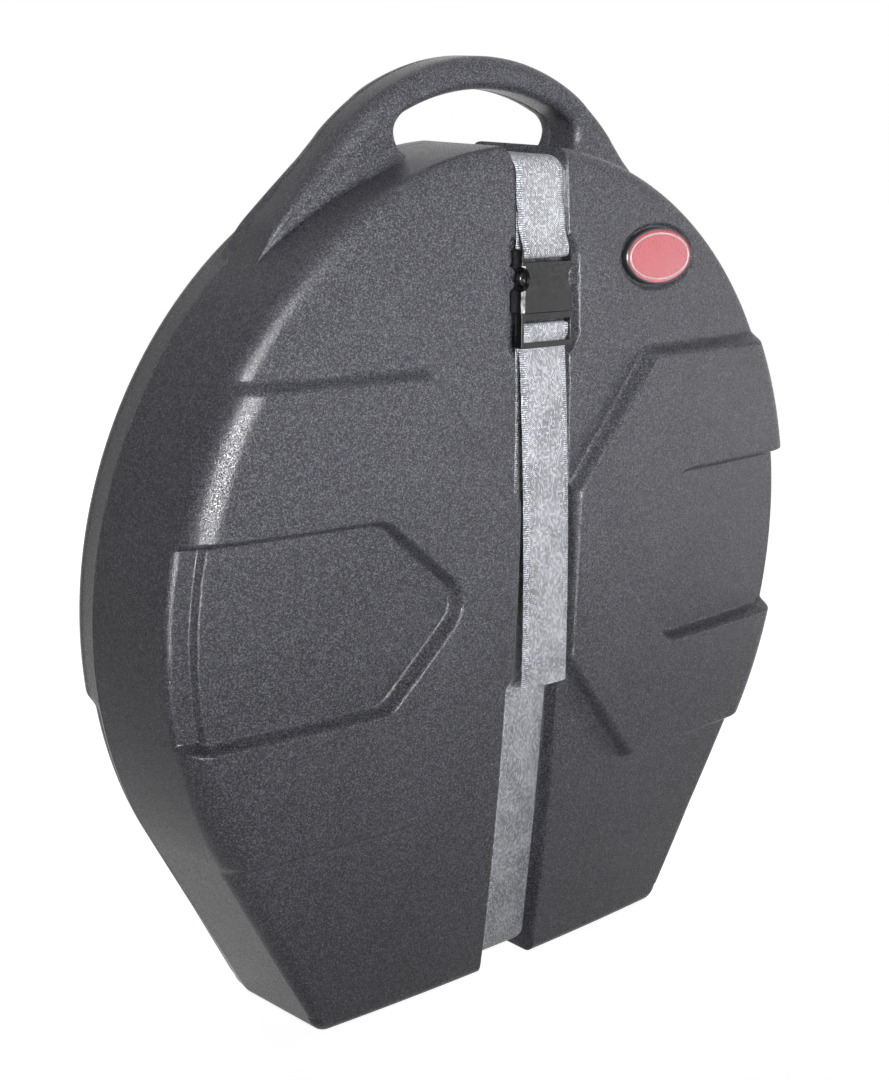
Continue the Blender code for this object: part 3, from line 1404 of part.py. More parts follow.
def build_plug():
    """The plug: a frame with two bars for the strap, and a guide that enters the socket."""
    origin = plug_origin()
    width, edge = PLUG_HALF_WIDTH, PLUG_EDGE
    outline = [(-width, edge - PLUG_LENGTH), (edge - width, -PLUG_LENGTH), (width - edge, -PLUG_LENGTH)]
    outline += [(width, edge - PLUG_LENGTH), (width, -FIT_GAP), (-width, -FIT_GAP)]
    frame = buckle_solid(outline, PLUG_BACK_W, PLUG_FRONT_W)
    plug = place("buckle_plug", frame, buckle_plastic(), origin)
    inner = STRAP_HALF_WIDTH + FIT_GAP
    low, high = PLUG_BACK_W - OVERRUN, PLUG_FRONT_W + OVERRUN
    bottom_u = BOTTOM_BAR_HEIGHT - PLUG_LENGTH
    slots = (
        ("top_slot", MIDDLE_BAR_TOP_U, -PLUG_COLLAR, low, high),
        ("foot_slot", bottom_u, MIDDLE_BAR_FOOT_U, low, high),
        ("bar_front", MIDDLE_BAR_FOOT_U - edge, MIDDLE_BAR_TOP_U + edge, MIDDLE_BAR_FRONT_W, high),
        ("bar_back", MIDDLE_BAR_FOOT_U - edge, MIDDLE_BAR_TOP_U + edge, low, MIDDLE_BAR_BACK_W),
        ("bottom_bar_back", -PLUG_LENGTH - OVERRUN, bottom_u + edge, low, BOTTOM_BAR_BACK_W),
    )
    for name, low_u, high_u, low_w, high_w in slots:
        cut(plug, cutter(name, buckle_block(inner, low_u, high_u, low_w, high_w)))
    guide_foot = -PLUG_COLLAR / 2
    guide = buckle_block(TONGUE_GUIDE_HALF_WIDTH, guide_foot, TONGUE_GUIDE_LENGTH, GUIDE_BACK_W, GUIDE_FRONT_W)
    join(plug, cutter("plug_guide", guide))


def prong_outline():
    """(x, u) outline of the right prong: a thin arm, and a head whose round side is the button."""
    points = [(PRONG_INNER_X, FIT_GAP), (PRONG_OUTER_X, FIT_GAP)]
    start, end = math.radians(BUTTON_START_ANGLE), math.radians(BUTTON_END_ANGLE)
    foot_u = WINDOW_U + BUTTON_HALF_LENGTH * math.sin(start)
    points.append((PRONG_OUTER_X, foot_u))
    for step in range(PRONG_STEPS + 1):
        angle = blend(start, end, step / PRONG_STEPS)
        x = PRONG_OUTER_X + BUTTON_DEPTH * math.cos(angle)
        points.append((x, WINDOW_U + BUTTON_HALF_LENGTH * math.sin(angle)))
    points.append((PRONG_INNER_X, WINDOW_U + BUTTON_HALF_LENGTH))
    return points


def build_prongs():
    for side, name in ((1, "prong_right"), (-1, "prong_left")):
        outline = [(side * x, u) for x, u in prong_outline()]
        solid = buckle_solid(outline, GUIDE_BACK_W, GUIDE_FRONT_W)
        y, z = buckle_spot(PRONG_ROOT_U, (GUIDE_BACK_W + GUIDE_FRONT_W) / 2)
        place(name, solid, buckle_plastic(), (side * PRONG_ROOT_X, y, z))


def main():
    clear_scene()
    build_shells()
    build_foam()
    build_post()
    build_badge()
    build_straps()
    build_socket()
    build_plug()
    build_prongs()


main()
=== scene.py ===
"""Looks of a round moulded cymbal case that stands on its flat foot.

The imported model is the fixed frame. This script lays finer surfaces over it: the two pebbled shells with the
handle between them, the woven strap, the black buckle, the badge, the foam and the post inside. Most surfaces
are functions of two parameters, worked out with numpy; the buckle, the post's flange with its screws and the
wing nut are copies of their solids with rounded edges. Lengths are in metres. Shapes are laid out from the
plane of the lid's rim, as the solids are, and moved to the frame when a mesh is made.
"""

from __future__ import annotations

import json
import logging
import math
from dataclasses import dataclass, field
from enum import Enum
from typing import Callable, Iterable, Sequence

import bmesh
import bpy
import numpy as np
from mathutils import Matrix, Vector

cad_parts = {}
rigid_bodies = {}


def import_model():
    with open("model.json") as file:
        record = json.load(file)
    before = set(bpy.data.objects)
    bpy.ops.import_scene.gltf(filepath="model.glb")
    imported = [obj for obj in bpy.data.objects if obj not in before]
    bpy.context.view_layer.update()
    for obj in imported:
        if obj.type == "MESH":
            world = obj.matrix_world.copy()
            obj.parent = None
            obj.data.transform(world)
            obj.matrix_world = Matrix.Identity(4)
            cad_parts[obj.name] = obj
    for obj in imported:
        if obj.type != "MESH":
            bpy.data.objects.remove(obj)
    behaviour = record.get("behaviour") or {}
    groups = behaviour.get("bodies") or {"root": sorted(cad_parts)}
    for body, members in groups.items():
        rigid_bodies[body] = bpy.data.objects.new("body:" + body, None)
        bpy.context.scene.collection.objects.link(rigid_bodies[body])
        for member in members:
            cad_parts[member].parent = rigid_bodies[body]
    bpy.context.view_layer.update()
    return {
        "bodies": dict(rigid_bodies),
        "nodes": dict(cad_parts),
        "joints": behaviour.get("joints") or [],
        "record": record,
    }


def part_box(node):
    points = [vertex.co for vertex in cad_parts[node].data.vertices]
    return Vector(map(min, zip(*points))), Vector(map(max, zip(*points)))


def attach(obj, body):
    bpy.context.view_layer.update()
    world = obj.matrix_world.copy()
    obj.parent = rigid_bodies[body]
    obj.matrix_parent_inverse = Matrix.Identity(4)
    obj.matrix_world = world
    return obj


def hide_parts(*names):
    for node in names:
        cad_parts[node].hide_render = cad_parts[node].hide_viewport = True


Array = np.ndarray
Piece = bpy.types.Object
Socket = bpy.types.NodeSocket
Pair = tuple[float, float]
Triple = tuple[float, float, float]
log = logging.getLogger("cymbal_case")
WEAVE_MAP = "weave"

# Points of a surface nearer than TOUCHING are one, and corners of a solid nearer than SAME_CORNER.
TOUCHING = 1e-7
SAME_CORNER = 2e-6

# Edges that turn by more than this many degrees stay crisp.
CREASE = 50.0

# The least cosine that a length is divided by, which keeps a ray along a straight of the outline finite.
LEAST_COSINE = 0.1


class Side(Enum):
    """Which way a shell faces along Y."""

    FRONT = -1
    BACK = 1


@dataclass(frozen=True)
class CaseSizes:
    """Driving sizes of the case, the same as those of its solids."""

    radius: float = 0.300
    centre_z: float = 0.2963
    foot_half: float = 0.173
    foot_corner: float = 0.013
    wall: float = 0.005
    seam_y: float = 0.076
    draft: float = 0.005
    edge: float = 0.012
    foot_edge: float = 0.007
    foot_edge_from: float = 0.015
    foot_edge_blend: float = 0.060
    pad_edge: float = 0.019
    ledge_edge: float = 0.005
    front_dome: float = 0.012
    back_rim_y: float = 0.099
    back_dome: float = 0.008
    groove_depth: float = 0.0045
    groove_half: float = 0.0276
    groove_floor_half: float = 0.0240
    groove_top_z: float = 0.588
    groove_foot_z: float = 0.010
    badge_x: float = 0.1228
    badge_z: float = 0.5187
    beyond_x: float = 0.350


CASE = CaseSizes()


def smooth_ramp(depth: Array, width: float, soft: float = 0.45) -> Array:
    """A straight slope between 0 and 1 whose two ends are parabolas, as a moulded wall's are.

    Args:
        depth: Distance inside the edge where the wall starts.
        width: Width of the wall seen from the front.
        soft: Share of the width that each rounded end takes.

    Returns:
        The share of the wall's height at each point.
    """
    share = np.clip(depth / width, 0.0, 1.0)
    bend = 2.0 * soft * (1.0 - soft)
    middle = (share - soft / 2) / (1.0 - soft)
    low = np.where(share < soft, share**2 / bend, middle)
    return np.where(share > 1.0 - soft, 1.0 - (1.0 - share) ** 2 / bend, low)


def round_over(depth: Array, radius: Array | float) -> Array:
    """Drop of a quarter-round edge at a depth inside it: radius minus the height of its circle.

    Args:
        depth: Distance inside the edge.
        radius: Radius of the edge.

    Returns:
        The drop at each point.
    """
    radius = np.asarray(radius)
    inside = np.clip(radius - np.maximum(depth, 0.0), 0.0, None)
    height = np.sqrt(np.clip(radius**2 - inside**2, 0.0, None))
    return np.where(depth >= radius, 0.0, radius - height)


def mix(low: Array | float, high: Array | float, share: Array | float) -> Array | float:
    """Value between two others."""
    return low + (high - low) * share


def run_along(line: Array) -> Array:
    """Length run along a line up to each of its points: the sum of the steps before it."""
    return np.concatenate([[0.0], np.cumsum(np.linalg.norm(np.diff(line, axis=0), axis=1))])


def places_along(line: Array, length: Array) -> Array:
    """Places at given lengths along a flat line, in proportion between its points."""
    known = run_along(line)
    return np.stack([np.interp(length, known, line[:, k]) for k in range(2)], -1)


def even_points(line: Array, count: int) -> Array:
    """A number of points spread evenly along a flat line."""
    return places_along(line, np.linspace(0, run_along(line)[-1], count))


class RoundedPolygon:
    """A convex polygon with round corners that tells how deep any point lies inside it."""

    def __init__(self, corners: Sequence[Pair], radius: float) -> None:
        """Keep the polygon that the corner circles' centres make.

        Args:
            corners: Sharp corners, counter-clockwise, as (x, z).
            radius: Radius of the round corners.
        """
        points = np.array(corners)
        run = np.roll(points, -1, 0) - points
        run /= np.linalg.norm(run, axis=1, keepdims=True)
        normal = np.stack([-run[:, 1], run[:, 0]], 1)
        before = np.roll(normal, 1, 0)
        mitre = (normal + before) / (1 + (normal * before).sum(1, keepdims=True))
        self.radius = radius
        self.core = points + mitre * radius

    def depth(self, x: Array, z: Array) -> Array:
        """Distance inside the rounded outline, negative outside it.

        Args:
            x: Across the case.
            z: Up the case.

        Returns:
            The least distance to the core's sides inside it, or minus the distance to it outside.
        """
        inner = np.full(x.shape, np.inf)
        nearest = np.full(x.shape, np.inf)
        for a, b in zip(self.core, np.roll(self.core, -1, 0)):
            run = b - a
            length = math.hypot(run[0], run[1])
            off_x, off_z = x - a[0], z - a[1]
            inner = np.minimum(inner, (run[0] * off_z - run[1] * off_x) / length)
            share = np.clip((off_x * run[0] + off_z * run[1]) / length**2, 0.0, 1.0)
            nearest = np.minimum(nearest, np.hypot(off_x - run[0] * share, off_z - run[1] * share))
        return self.radius + np.where(inner >= 0, inner, -nearest)


class CaseOutline:
    """The round case with its flat foot and the flanks between them."""

    def __init__(self, sizes: CaseSizes) -> None:
        """Work out where the flank touches the circle and where the foot's corner lies.

        Args:
            sizes: The case's driving sizes.
        """
        self.sizes = sizes
        reach = math.hypot(sizes.foot_half, sizes.centre_z)
        self.tangent = math.atan2(-sizes.centre_z, sizes.foot_half) + math.acos(sizes.radius / reach)
        self.normal = (math.cos(self.tangent), math.sin(self.tangent))
        gap = sizes.foot_corner
        across = (sizes.radius - gap - (gap - sizes.centre_z) * self.normal[1]) / self.normal[0]
        self.corner = (across, gap)

    def reach(self, angle: Array) -> Array:
        """Distance from the case's centre to its outline: circle, flank, round corner or foot.

        Args:
            angle: Directions from the centre, 0 along +X.

        Returns:
            The distance along each direction.
        """
        s = self.sizes
        across = np.abs(np.cos(angle))
        up = np.sin(angle)
        turn = np.arctan2(up, across)
        flank = s.radius / np.maximum(np.cos(turn - self.tangent), LEAST_COSINE)
        foot = s.centre_z / np.maximum(-up, LEAST_COSINE)
        found = np.where(turn >= self.tangent, s.radius, np.minimum(flank, foot))
        cx, cz = self.corner[0], self.corner[1] - s.centre_z
        along = cx * across + cz * up
        inside = s.foot_corner**2 - (cx**2 + cz**2 - along**2)
        round_reach = along + np.sqrt(np.maximum(inside, 0.0))
        start = math.atan2(cz + s.foot_corner * self.normal[1], cx + s.foot_corner * self.normal[0])
        end = math.atan2(cz - s.foot_corner, cx)
        return np.where((turn < start) & (turn > end), round_reach, found)

    def depth(self, x: Array, z: Array) -> Array:
        """Distance inside the outline, the least of those to the circle or flank, the corner and the foot.

        Args:
            x: Across the case.
            z: Up the case.

        Returns:
            The distance, negative outside.
        """
        s = self.sizes
        x = np.abs(x)
        up = z - s.centre_z
        turn = np.arctan2(up, x)
        side = np.where(turn >= self.tangent, np.hypot(x, up), x * self.normal[0] + up * self.normal[1])
        found = np.minimum(s.radius - side, z)
        off_x, off_z = x - self.corner[0], self.corner[1] - z
        beyond = (off_z > 0) & (off_x > 0) & (off_x * self.normal[0] - off_z * self.normal[1] > 0)
        return np.where(beyond, s.foot_corner - np.hypot(off_x, off_z), found)


OUTLINE = CaseOutline(CASE)


@dataclass(frozen=True)
class Dome:
    """A face that falls away from its highest point as the square of the distance."""

    rise: float
    centre_z: float
    radius: float

    def height(self, x: Array, z: Array) -> Array:
        """Height of the face at each place."""
        away = (x**2 + (z - self.centre_z) ** 2) / self.radius**2
        return self.rise * (1.0 - away)

    def slope(self, x: float, z: float) -> Pair:
        """How fast the height grows along x and along z."""
        scale = -2.0 * self.rise / self.radius**2
        return scale * x, scale * (z - self.centre_z)


LID_FACE = Dome(rise=0.0175, centre_z=0.2625, radius=0.3136)
LID_GROOVE = Dome(CASE.front_dome, CASE.centre_z, CASE.radius)
BACK_FACE = Dome(CASE.back_dome, CASE.centre_z, CASE.radius)


@dataclass(frozen=True)
class PadLines:
    """A raised pad's height and its outline on the right half: foot, top and the edge beside the strap."""

    rise: float
    foot: Pair
    top: Pair
    inner_x: float
    inner_foot_z: float
    inner_top_z: float
    corner: float = 0.013

    def outline(self) -> RoundedPolygon:
        """The pad as a polygon that runs on past the case's side.

        Returns:
            The polygon, counter-clockwise.
        """
        corners = [(CASE.beyond_x, self.foot[1]), (CASE.beyond_x, self.top[1]), self.top]
        corners += [(self.inner_x, self.inner_top_z), (self.inner_x, self.inner_foot_z), self.foot]
        return RoundedPolygon(corners, self.corner)


@dataclass(frozen=True)
class LidLines:
    """Where the lid's pointed recess, on the right half, the buckle's well and the badge's seat run."""

    recess_foot: Pair = (0.1408, 0.2285)
    recess_tip: Pair = (0.0690, 0.2994)
    recess_top: Pair = (0.1468, 0.3635)
    recess_corner: float = 0.024
    well_halves: tuple[float, ...] = (0.030, 0.038, 0.038, 0.030)
    well_levels: tuple[float, ...] = (0.455, 0.468, 0.525, 0.538)
    well_corner: float = 0.006
    seat_half_x: float = 0.0440
    seat_half_z: float = 0.0250

    def recess(self) -> RoundedPolygon:
        """The recess as a polygon that runs on past the case's side.

        Returns:
            The polygon, counter-clockwise.
        """
        corners = [(CASE.beyond_x, self.recess_foot[1]), (CASE.beyond_x, self.recess_top[1])]
        corners += [self.recess_top, self.recess_tip, self.recess_foot]
        return RoundedPolygon(corners, self.recess_corner)

    def well(self) -> RoundedPolygon:
        """The well, as wide on the left as on the right."""
        right = list(zip(self.well_halves, self.well_levels))
        return RoundedPolygon(right + [(-x, z) for x, z in reversed(right)], self.well_corner)

    def seat(self) -> tuple[float, float, float, float]:
        """Middle and half sizes of the seat's oval."""
        return CASE.badge_x, CASE.badge_z, self.seat_half_x, self.seat_half_z


LID_PAD = PadLines(
    rise=0.0107,
    foot=(0.104, 0.1395),
    top=(0.107, 0.457),
    inner_x=0.0230,
    inner_foot_z=0.2341,
    inner_top_z=0.362,
)
BACK_PAD = PadLines(
    rise=0.009,
    foot=(0.105, 0.2355),
    top=(0.070, 0.566),
    inner_x=0.0265,
    inner_foot_z=0.325,
    inner_top_z=0.520,
)


@dataclass
class Relief:
    """What a shell's face carries: raised pads, recesses in them, the strap groove, the well and the seat."""

    side: Side
    dome: Dome
    groove: Dome
    rise: float
    pad: RoundedPolygon
    recess: RoundedPolygon | None = None
    ramp: float = 0.009
    recess_ramp: float = 0.007
    ledge_drop: float = 0.006
    ledge_inner: float = 0.019
    ledge_outer: float = 0.0150
    well: RoundedPolygon | None = None
    well_depth: float = 0.0075
    well_ramp: float = 0.005
    seat: tuple[float, float, float, float] | None = None
    seat_depth: float = 0.0035
    seat_ramp: float = 0.004
    least_edge: float = 0.0005
    shift_share: float = 0.5

    @staticmethod
    def edge_radius(z: Array) -> Array:
        """Radius of the rim's rounded edge, which grows tighter towards the foot."""
        share = np.clip((z - CASE.foot_edge_from) / CASE.foot_edge_blend, 0.0, 1.0)
        return mix(CASE.foot_edge, CASE.edge, share)

    def seat_share(self, x: Array, z: Array, shift: float) -> Array:
        """How far into the badge's oval seat a point lies, from 0 at its lip to 1 on its floor.

        Args:
            x: Across the case.
            z: Up the case.
            shift: How far the seat's edge is moved outwards.

        Returns:
            The share at each point.
        """
        if self.seat is None:
            return np.zeros(x.shape)
        cx, cz, half_x, half_z = self.seat
        depth = (1.0 - np.hypot((x - cx) / half_x, (z - cz) / half_z)) * half_z
        return smooth_ramp(depth + shift, self.seat_ramp)

    def rises(self, x: Array, z: Array, wall: float) -> Array:
        """Height of the face above the plane of the rim, the strap groove left out.

        Args:
            x: Across the case.
            z: Up the case.
            wall: 0 for the outer side, or the wall's thickness for the inner side.

        Returns:
            Heights: the dome, plus the pads less their recesses, less the rounded rim, the well and the seat.
        """
        shift = wall * self.shift_share
        edge = OUTLINE.depth(x, z)
        pad = smooth_ramp(self.pad.depth(np.abs(x), z) - shift, self.ramp)
        recess = np.zeros(x.shape)
        radius = self.edge_radius(z)
        if self.recess is not None:
            recess = smooth_ramp(self.recess.depth(np.abs(x), z) + shift, self.recess_ramp)
            radius = mix(radius, CASE.pad_edge, pad)
        ledge = smooth_ramp(self.ledge_inner + wall - edge, self.ledge_inner - self.ledge_outer)
        radius = np.maximum(mix(radius, CASE.ledge_edge, recess) - wall, self.least_edge)
        height = self.dome.height(x, z) + self.rise * pad * (1.0 - recess) - self.ledge_drop * recess * ledge
        height = height - round_over(edge - wall, radius)
        if self.well is not None:
            share = smooth_ramp(self.well.depth(x, z) + shift, self.well_ramp)
            height = mix(height, self.groove.height(x, z) - self.well_depth, share)
        return height - self.seat_depth * self.seat_share(x, z, shift) - wall


def front_relief() -> Relief:
    """The lid's face: two pads with pointed recesses, the buckle's well and the badge's seat.

    Returns:
        The lid's relief.
    """
    lines = LidLines()
    carried = {"recess": lines.recess(), "well": lines.well(), "seat": lines.seat()}
    return Relief(Side.FRONT, LID_FACE, LID_GROOVE, LID_PAD.rise, LID_PAD.outline(), **carried)


def back_relief() -> Relief:
    """The back: one large raised panel on each side of the strap groove."""
    return Relief(Side.BACK, BACK_FACE, BACK_FACE, BACK_PAD.rise, BACK_PAD.outline())


class Shell:
    """One moulded shell, its outside or its inside, as rings round the case's centre line.

    A bell is (height, width) of the peak that a place adds to the columns' density.
    """

    side_rows = 16
    lip_rows = 3
    lip = 0.0006
    groove_soft = 0.35
    recess_levels = (0.366, 0.230)
    groove_side_x = 0.027
    level_bell = (1.6, 0.035)
    groove_bell = (3.0, 0.018)
    corner_bell = (3.0, 0.03)
    hub = (0.002, 0.028, 8)
    flat_from = 0.030
    edge_density = 1.6
    edge_rings = 6
    probe = 0.25

    def __init__(self, relief: Relief, wall: float, columns: int, fine: float) -> None:
        """Choose the directions and the rings.

        Args:
            relief: What the face carries.
            wall: 0 for the outside, or the wall's thickness for the inside.
            columns: How many directions the grid has.
            fine: Spacing of the rings across the face.
        """
        self.relief = relief
        self.wall = wall
        self.rim_y = 0.0 if relief.side is Side.FRONT else CASE.back_rim_y
        self.angles = self.directions(columns)
        self.rows = self.rings(fine)

    def directions(self, columns: int) -> Array:
        """Angles round the case, closer together where pads, grooves and corners meet the rim.

        The columns' density is 1 plus a bell curve at each such place. Columns stand for equal shares of it.

        Args:
            columns: How many directions are wanted.

        Returns:
            Their angles.
        """
        bells = []
        for z in (LID_PAD.top[1], *self.recess_levels, LID_PAD.foot[1], BACK_PAD.foot[1]):
            turn = math.asin((z - CASE.centre_z) / CASE.radius)
            bells += [(turn, self.level_bell), (math.copysign(math.pi, turn) - turn, self.level_bell)]
        groove = math.acos(self.groove_side_x / CASE.radius)
        bells += [(at, self.groove_bell) for at in (groove, -groove, math.pi - groove, groove - math.pi)]
        corner = math.atan2(-CASE.centre_z, CASE.foot_half)
        bells += [(at, self.corner_bell) for at in (corner, -math.pi - corner)]
        dense = np.linspace(-math.pi, math.pi, 20001)
        weight = np.ones(dense.shape)
        for at, (height, width) in bells:
            weight += height * np.exp(-(((dense - at) / width) ** 2))
        total = np.cumsum(weight)
        total = (total - total[0]) / (total[-1] - total[0])
        return np.interp(np.arange(columns) / columns, total, dense)

    def rings(self, fine: float) -> Array:
        """Shares of the way from the centre to the rim: coarse at the hub, even, then along the rounded edge.

        Args:
            fine: Spacing across the face.

        Returns:
            Shares from near 0 to 1.
        """
        reach = CASE.radius - self.wall
        edge = CASE.pad_edge
        turn = np.linspace(0.0, math.pi / 2, max(int(edge * self.edge_density / fine), self.edge_rings) + 1)
        rounded = 1.0 - edge * np.clip(1.0 - np.sin(turn[1:]), 0.0, None) / reach
        flat = np.arange(self.flat_from, reach - edge, fine)
        return np.concatenate([np.linspace(*self.hub) / reach, flat / reach, rounded])

    @property
    def row_count(self) -> int:
        """Rows of the face, the side and the small rounded lip at the seam."""
        return len(self.rows) + self.side_rows + self.lip_rows

    def points(self, angle: Array, row: Array) -> Array:
        """Places on the shell.

        The first rows lie on the face, at a share of the outline's reach, with the relief's height. Later
        rows run straight down the side to the seam and grow wider on the way. Inside the strap groove the
        face and the side give way to the groove's floor, which keeps its own level round the case.

        Args:
            angle: Directions from the centre.
            row: Row numbers, which may lie between two rows.

        Returns:
            An array of (x, y, z).
        """
        relief, wall = self.relief, self.wall
        last = len(self.rows) - 1
        share = np.interp(np.minimum(row, last), np.arange(len(self.rows)), self.rows)
        down = np.clip((row - last) / self.side_rows, 0.0, 1.0)
        turn = np.clip((row - last - self.side_rows) / self.lip_rows, 0.0, 1.0) * (math.pi / 2)
        outline = OUTLINE.reach(angle)
        reach = (outline - wall * outline / CASE.radius) * share
        reach = reach - self.lip * (1.0 - np.cos(turn))
        x = reach * np.cos(angle)
        z = np.maximum(CASE.centre_z + reach * np.sin(angle), wall)
        facing = relief.side.value
        y = self.rim_y + facing * relief.rises(x, z, wall)
        width = CASE.groove_half - CASE.groove_floor_half
        deep = smooth_ramp(CASE.groove_half + wall - np.abs(x), width, self.groove_soft)
        if relief.well is not None:
            well = relief.well.depth(x, z) + wall * relief.shift_share
            deep = deep * (1.0 - smooth_ramp(well, relief.well_ramp))
        y = mix(y, self.rim_y + facing * self.groove_level(x, z), deep)
        z = mix(z, self.inside_groove(z), deep)
        y = mix(y, CASE.seam_y + facing * self.lip * (1.0 - np.sin(turn)), down)
        x = x * (1.0 + CASE.draft / CASE.radius * down)
        return np.stack([x, y, z], -1)

    def inside_groove(self, z: Array) -> Array:
        """Heights kept between the groove's ends at the foot and the top."""
        return np.clip(z, CASE.groove_foot_z + self.wall, CASE.groove_top_z - self.wall)

    def groove_level(self, x: Array, z: Array) -> Array:
        """Height of the groove's floor: its dome less its depth, rounded over into the top and the foot.

        Args:
            x: Across the case.
            z: Up the case.

        Returns:
            Heights above the rim's plane.
        """
        low = self.inside_groove(z)
        over = np.abs(z - low)
        to_end = np.minimum(CASE.groove_top_z - self.wall - low, low - CASE.groove_foot_z - self.wall)
        drop = round_over(to_end, CASE.edge - self.wall)
        return self.relief.groove.height(x, low) - CASE.groove_depth - drop - self.wall - over

    def grid(self) -> tuple[Array, Array]:
        """All places and their normals, found from the surface a quarter of a step either way.

        Returns:
            Places as (rows, columns, 3) and normals of the same shape.
        """
        rows = np.arange(self.row_count, dtype=float)
        angle, row = np.meshgrid(self.angles, rows)
        step = math.tau / len(self.angles) * self.probe
        along = self.points(angle + step, row) - self.points(angle - step, row)
        below, above = np.minimum(row + self.probe, rows[-1]), np.maximum(row - self.probe, 0)
        normal = np.cross(self.points(angle, below) - self.points(angle, above), along)
        normal /= np.maximum(np.linalg.norm(normal, axis=-1, keepdims=True), 1e-12)
        if self.relief.side is Side.BACK:
            normal = -normal
        return self.points(angle, row), normal


class MeshMaker:
    """Puts arrays of places into Blender meshes, moved from the rim's plane to the frame."""

    def __init__(self, rim_y: float) -> None:
        """Keep where the plane of the lid's rim lies in the frame.

        Args:
            rim_y: Y of that plane.
        """
        self.offset = np.array([0.0, rim_y, 0.0])

    def mesh(self, name: str, places: Array, faces: Sequence[Array], normals: Array | None = None) -> Piece:
        """Make one object.

        Args:
            name: Name of the object.
            places: (n, 3) places from the rim's plane.
            faces: Arrays of faces, each of the same number of corners, as rows of vertex numbers.
            normals: Unit normals of the vertices, or None for Blender's own.

        Returns:
            The new object at the origin.
        """
        data = bpy.data.meshes.new(name)
        corners = np.concatenate([np.asarray(part, np.int32).ravel() for part in faces])
        sizes = np.concatenate([np.full(len(part), np.asarray(part).shape[1], np.int32) for part in faces])
        starts = np.concatenate([[0], np.cumsum(sizes)[:-1]]).astype(np.int32)
        data.vertices.add(len(places))
        data.vertices.foreach_set("co", (places + self.offset).astype(np.float32).ravel())
        data.loops.add(len(corners))
        data.loops.foreach_set("vertex_index", corners)
        data.polygons.add(len(sizes))
        data.polygons.foreach_set("loop_start", starts)
        data.update(calc_edges=True)
        data.validate()
        data.shade_smooth()
        made = bpy.data.objects.new(name, data)
        bpy.context.scene.collection.objects.link(made)
        if normals is not None:
            data.normals_split_custom_set_from_vertices(normals.tolist())
        return made

    def sheet(
        self,
        name: str,
        grid: Array,
        ring: bool,
        normals: Array | None = None,
        tip: Array | None = None,
        flip: bool = False,
    ) -> Piece:
        """Make a grid of quads, closed along its columns if it is a ring.

        Args:
            name: Name of the object.
            grid: (rows, columns, 3) places.
            ring: Whether the last column meets the first.
            normals: Normals of the same shape, or None.
            tip: A place that closes the first row, or None.
            flip: Whether the faces are turned round.

        Returns:
            The new object.
        """
        rows, columns = grid.shape[:2]
        number = np.arange(rows * columns).reshape(rows, columns)
        after = np.roll(number, -1, 1) if ring else number[:, 1:]
        here = number if ring else number[:, :-1]
        quads = np.stack([here[:-1], here[1:], after[1:], after[:-1]], -1).reshape(-1, 4)
        faces = [quads[:, ::-1] if flip else quads]
        places = grid.reshape(-1, 3)
        flat = None if normals is None else normals.reshape(-1, 3)
        if tip is not None:
            fan = np.stack([np.full(here.shape[1], rows * columns), here[0], after[0]], -1)
            faces.append(fan[:, ::-1] if flip else fan)
            places = np.vstack([places, tip])
            if flat is not None:
                flat = np.vstack([flat, normals[0].mean(0)])
        return self.mesh(name, places, faces, flat)


def mended(piece: Piece, merge: float = 0.0, fill: bool = False) -> Piece:
    """Close a piece's open ends, merge its doubles and turn its faces outwards.

    Args:
        piece: The piece, whose mesh is changed.
        merge: Distance within which points merge, or 0 to leave them.
        fill: Whether open ends are closed.

    Returns:
        The same piece.
    """
    work = bmesh.new()
    work.from_mesh(piece.data)
    if fill:
        bmesh.ops.holes_fill(work, edges=[edge for edge in work.edges if edge.is_boundary], sides=0)
    if merge:
        bmesh.ops.remove_doubles(work, verts=work.verts, dist=merge)
    bmesh.ops.recalc_face_normals(work, faces=work.faces)
    work.to_mesh(piece.data)
    work.free()
    return piece


def sharpen(piece: Piece, degrees: float = 40.0) -> Piece:
    """Keep edges sharper than an angle crisp, and shade the rest smooth.

    Args:
        piece: The piece.
        degrees: The angle.

    Returns:
        The same piece.
    """
    piece.data.shade_smooth()
    piece.data.set_sharp_from_angle(angle=math.radians(degrees))
    return piece


def softened(name: str, node: Piece, width: float, flat: float = 2.0, sharp: float = 30.0) -> Piece:
    """A copy of a solid with its doubles merged and its sharp edges rounded, whose flat faces stay flat.

    Args:
        name: Name of the copy.
        node: The solid.
        width: Width of the rounding.
        flat: Angle in degrees up to which neighbouring faces become one.
        sharp: Angle in degrees from which an edge is rounded.

    Returns:
        The new object.
    """
    data = node.data.copy()
    data.name = name
    work = bmesh.new()
    work.from_mesh(data)
    bmesh.ops.remove_doubles(work, verts=work.verts, dist=SAME_CORNER)
    bmesh.ops.dissolve_limit(work, angle_limit=math.radians(flat), verts=work.verts, edges=work.edges)
    bmesh.ops.recalc_face_normals(work, faces=work.faces)
    work.to_mesh(data)
    work.free()
    data.materials.clear()
    made = bpy.data.objects.new(name, data)
    bpy.context.scene.collection.objects.link(made)
    rounding = made.modifiers.new("rounding", "BEVEL")
    rounding.width = width
    rounding.segments = 2
    rounding.limit_method = "ANGLE"
    rounding.angle_limit = math.radians(sharp)
    rounding.harden_normals = False
    data.shade_smooth()
    made.modifiers.new("weighted", "WEIGHTED_NORMAL").keep_sharp = True
    return made


